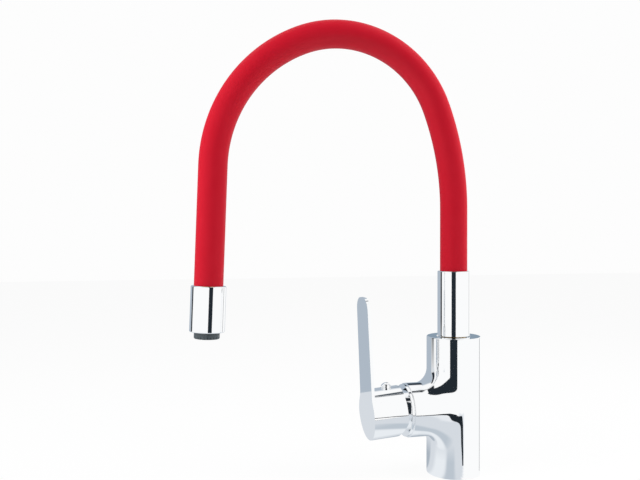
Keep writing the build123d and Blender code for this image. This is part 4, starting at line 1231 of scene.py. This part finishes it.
class FAUCET_OT_stage(bpy.types.Operator):
    """Set the floor, the lights, the tent and strips of painted reflection, and the camera"""
    bl_idname = "faucet.stage"
    bl_label = "Stage"

    def execute(self, context):
        self.make_world(context)
        self.make_floor(context)
        self.make_tent()
        self.make_table()
        self.make_flag()
        self.make_slot()
        self.make_lights()
        self.make_camera(context)
        context.scene.view_settings.view_transform = "Standard"
        return {"FINISHED"}

    def make_world(self, context):
        """As white as the floor for the camera and for reflections, plain pale light for the rest."""
        world = bpy.data.worlds.new("studio")
        context.scene.world = world
        world.use_nodes = True
        tree = world.node_tree
        tree.nodes.clear()
        light_path = add_node(tree, "ShaderNodeLightPath")
        ambient = add_node(tree, "ShaderNodeBackground", {"Color": (1, 1, 1, 1), "Strength": 0.15})
        white = add_node(tree, "ShaderNodeBackground", {"Color": (*linear("#FDFDFD"), 1), "Strength": 1.0})
        seen = add_node(tree, "ShaderNodeMath", {
            0: light_path.outputs["Is Camera Ray"], 1: light_path.outputs["Is Glossy Ray"]}, operation="MAXIMUM")
        seen = add_node(tree, "ShaderNodeMath", {
            0: seen.outputs["Value"], 1: light_path.outputs["Is Transmission Ray"]}, operation="MAXIMUM")
        mix = add_node(tree, "ShaderNodeMixShader", {
            0: seen.outputs["Value"], 1: ambient.outputs["Background"], 2: white.outputs["Background"]})
        add_node(tree, "ShaderNodeOutputWorld", {"Surface": mix.outputs["Shader"]})

    def make_floor(self, context):
        """A pale matt floor that keeps the faucet's shadow; the chrome sees the tent instead."""
        deselect_all()
        bpy.ops.mesh.primitive_plane_add(size=6, location=(0, 0, 0))
        floor = new_piece("studio_floor")
        material, tree = start_material("floor_paper")
        tone = grain(tree, 60 * mm)
        colour_value = context.scene.faucet_colours.floor
        base = blend_colours(tree, between(tree, tone, 0, 1), shade(colour_value, 0.985), colour_value)
        shader = add_node(tree, "ShaderNodeBsdfDiffuse", {"Color": base})
        glow = add_node(tree, "ShaderNodeEmission", {"Color": (1, 1, 1, 1), "Strength": 1.0})
        light_path = add_node(tree, "ShaderNodeLightPath")
        share = add_node(tree, "ShaderNodeMath", {
            0: light_path.outputs["Is Camera Ray"], 1: 0.95}, operation="MULTIPLY")
        mix = add_node(tree, "ShaderNodeMixShader", {
            0: share.outputs["Value"], 1: shader.outputs["BSDF"], 2: glow.outputs["Emission"]})
        add_node(tree, "ShaderNodeOutputMaterial", {"Surface": mix.outputs["Shader"]})
        floor.data.materials.append(material)
        floor.visible_glossy = False

    def show_to_chrome_only(self, piece, material):
        """A reflector: seen in polished surfaces, but neither by the camera nor as a light or a shadow."""
        material.cycles.emission_sampling = "NONE"
        piece.data.materials.append(material)
        piece.visible_camera = False
        piece.visible_diffuse = False
        piece.visible_shadow = False
        piece.visible_transmission = False

    def painted_cloth(self, name, piece, colours):
        """Let a reflector glow in painted colours, a painted reflection for the chrome."""
        # the cloth attribute holds the painted reflection colour of each point
        cloth = piece.data.color_attributes.new("cloth", "FLOAT_COLOR", "POINT")
        cloth.data.foreach_set("color", colours.ravel())
        material, tree = start_material(name)
        painted_colour = add_node(tree, "ShaderNodeAttribute", attribute_name="cloth")
        glow = add_node(tree, "ShaderNodeEmission", {"Color": painted_colour.outputs["Color"], "Strength": 1.0})
        add_node(tree, "ShaderNodeOutputMaterial", {"Surface": glow.outputs["Emission"]})
        self.show_to_chrome_only(piece, material)

    def plain_cloth(self, name, columns, rows, hex_text):
        """A grid that glows in one dark colour, a painted dark reflection for the chrome, to be bent to its place.
        """
        deselect_all()
        bpy.ops.mesh.primitive_grid_add(x_subdivisions=columns, y_subdivisions=rows, size=1)
        piece = new_piece(name)
        material, tree = start_material(name + "_cloth")
        glow = add_node(tree, "ShaderNodeEmission", {"Color": (*linear(hex_text), 1), "Strength": 1.0})
        add_node(tree, "ShaderNodeOutputMaterial", {"Surface": glow.outputs["Emission"]})
        self.show_to_chrome_only(piece, material)
        return piece

    def make_tent(self):
        """A glowing sphere round the whole set, in place of a photographer's light tent, painted with the
        reflections that the chrome shows.
        """
        deselect_all()
        centre = (0, 0, tent_level)
        bpy.ops.mesh.primitive_uv_sphere_add(segments=360, ring_count=180, radius=tent_radius, location=centre)
        tent = new_piece("light_tent")
        place(tent, tent.matrix_world.copy())
        points = mesh_points(tent) - np.array(centre)
        points /= np.linalg.norm(points, axis=1, keepdims=True)
        self.painted_cloth("tent_cloth", tent, tent_cloth(points))

    def make_table(self):
        """The table's painted reflection for polished metal, and a dark rail along its front edge, also painted
        reflection.
        """
        deselect_all()
        bpy.ops.mesh.primitive_grid_add(x_subdivisions=280, y_subdivisions=220, size=1, location=(0, 0, 0))
        table = new_piece("table_cloth")
        for vertex in table.data.vertices:
            x, y = (vertex.co[k] * table_size[k] + table_middle[k] for k in (0, 1))
            vertex.co = Vector((x, y, -0.5 * mm))
        self.painted_cloth("table_cloth", table, table_cloth(mesh_points(table)))
        rail = self.plain_cloth("table_rail", 12, 1, dark_reflection_colour)
        for vertex in rail.data.vertices:
            x = vertex.co.x * rail_span + rail_middle
            height = rail_height * min(max((rail_end - x) / rail_end, 0), 1) * (vertex.co.y + 0.5)
            vertex.co = Vector((x, -table_reach, height))

    def make_flag(self):
        """The black strip beside the column, seen only by the chrome, that paints the dark reflected line down it
        and along the barrel.
        """
        flag = self.plain_cloth("edge_flag", len(flag_line) - 1, 1, dark_reflection_colour)
        line = [Vector((x * mm, flag_plane, z * mm)) for x, z, _ in flag_line]
        for vertex in flag.data.vertices:
            at = round((vertex.co.x + 0.5) * (len(flag_line) - 1))
            along = (line[min(at + 1, len(line) - 1)] - line[max(at - 1, 0)]).normalized()
            across = Vector((along.z, 0, -along.x))
            vertex.co = line[at] + across * (2 * vertex.co.y * flag_line[at][2] * mm)

    def make_slot(self):
        """The dark slot of the tent, through which the camera looks, a painted dark reflection for the chrome."""
        towards = Vector(tent_front)
        across = Vector((-tent_front[1], tent_front[0], 0))
        slot = self.plain_cloth("tent_slot", 8, 40, "#232A31")
        for vertex in slot.data.vertices:
            rise = vertex.co.y + 0.5
            width = slot_width + slot_spread * max(rise - slot_spread_from, 0)
            shift = slot_shift + slot_lean * max(rise - slot_lean_from, 0)
            foot = towards * slot_distance + across * (vertex.co.x * width + shift)
            vertex.co = foot + Vector((0, 0, slot_height * rise))

    def make_lights(self):
        """Two broad soft lights, one on each side."""
        aim = Vector((-0.1, 0, 0.2))
        for name, place_at, power in (
            ("left_softbox", (-0.85, -0.20, 0.65), 8.5),
            ("right_softbox", (0.60, -0.20, 0.75), 9.5),
        ):
            data = bpy.data.lights.new(name, "AREA")
            data.shape = "RECTANGLE"
            data.size = 0.6
            data.size_y = 1.0
            data.energy = power
            lamp = bpy.data.objects.new(name, data)
            lamp.location = place_at
            lamp.rotation_euler = (Vector(place_at) - aim).to_track_quat("Z", "Y").to_euler()
            lamp.visible_glossy = False
            bpy.context.scene.collection.objects.link(lamp)

    def make_camera(self, context):
        """The photograph's viewpoint."""
        data = bpy.data.cameras.new("camera")
        data.lens = 41.0
        data.sensor_width = 36.0
        camera = bpy.data.objects.new("camera", data)
        eye = Vector((-0.2801, -0.6037, 0.2117))
        view = Vector((0.2504, 0.9681, -0.0056))
        camera.matrix_world = Matrix.Translation(eye) @ (-view).to_track_quat("Z", "Y").to_matrix().to_4x4()
        context.scene.collection.objects.link(camera)
        context.scene.camera = camera


class FAUCET_PT_panel(bpy.types.Panel):
    """Faucet tools in the sidebar"""
    bl_idname = "FAUCET_PT_panel"
    bl_label = "Flexible faucet"
    bl_space_type = "VIEW_3D"
    bl_region_type = "UI"
    bl_category = "Faucet"

    def draw(self, context):
        for operator in operators:
            self.layout.operator(operator.bl_idname)


property_groups = {
    "faucet_body": FaucetBodySizes,
    "faucet_lever": FaucetLeverSizes,
    "faucet_spout": FaucetSpoutSizes,
    "faucet_colours": FaucetColours,
}
operators = (
    FAUCET_OT_inner_parts,
    FAUCET_OT_casting,
    FAUCET_OT_trim_ring,
    FAUCET_OT_lever,
    FAUCET_OT_cover_plug,
    FAUCET_OT_ferrule,
    FAUCET_OT_sleeve,
    FAUCET_OT_hose,
    FAUCET_OT_nozzle,
    FAUCET_OT_stage,
)


def register():
    """Register the property groups, operators and panel."""
    for name, group in property_groups.items():
        bpy.utils.register_class(group)
        setattr(bpy.types.Scene, name, bpy.props.PointerProperty(type=group))
    for operator in operators:
        bpy.utils.register_class(operator)
    bpy.utils.register_class(FAUCET_PT_panel)


def unregister():
    """Take everything out again."""
    bpy.utils.unregister_class(FAUCET_PT_panel)
    for operator in reversed(operators):
        bpy.utils.unregister_class(operator)
    for name, group in property_groups.items():
        delattr(bpy.types.Scene, name)
        bpy.utils.unregister_class(group)


def main():
    """Build the whole scene."""
    register()
    finishes.update(make_materials())
    bpy.ops.faucet.inner_parts()
    bpy.ops.faucet.casting()
    bpy.ops.faucet.trim_ring()
    bpy.ops.faucet.lever()
    bpy.ops.faucet.cover_plug()
    bpy.ops.faucet.ferrule()
    bpy.ops.faucet.sleeve()
    bpy.ops.faucet.hose()
    bpy.ops.faucet.nozzle()
    bpy.ops.faucet.stage()


if __name__ == "__main__":
    main()
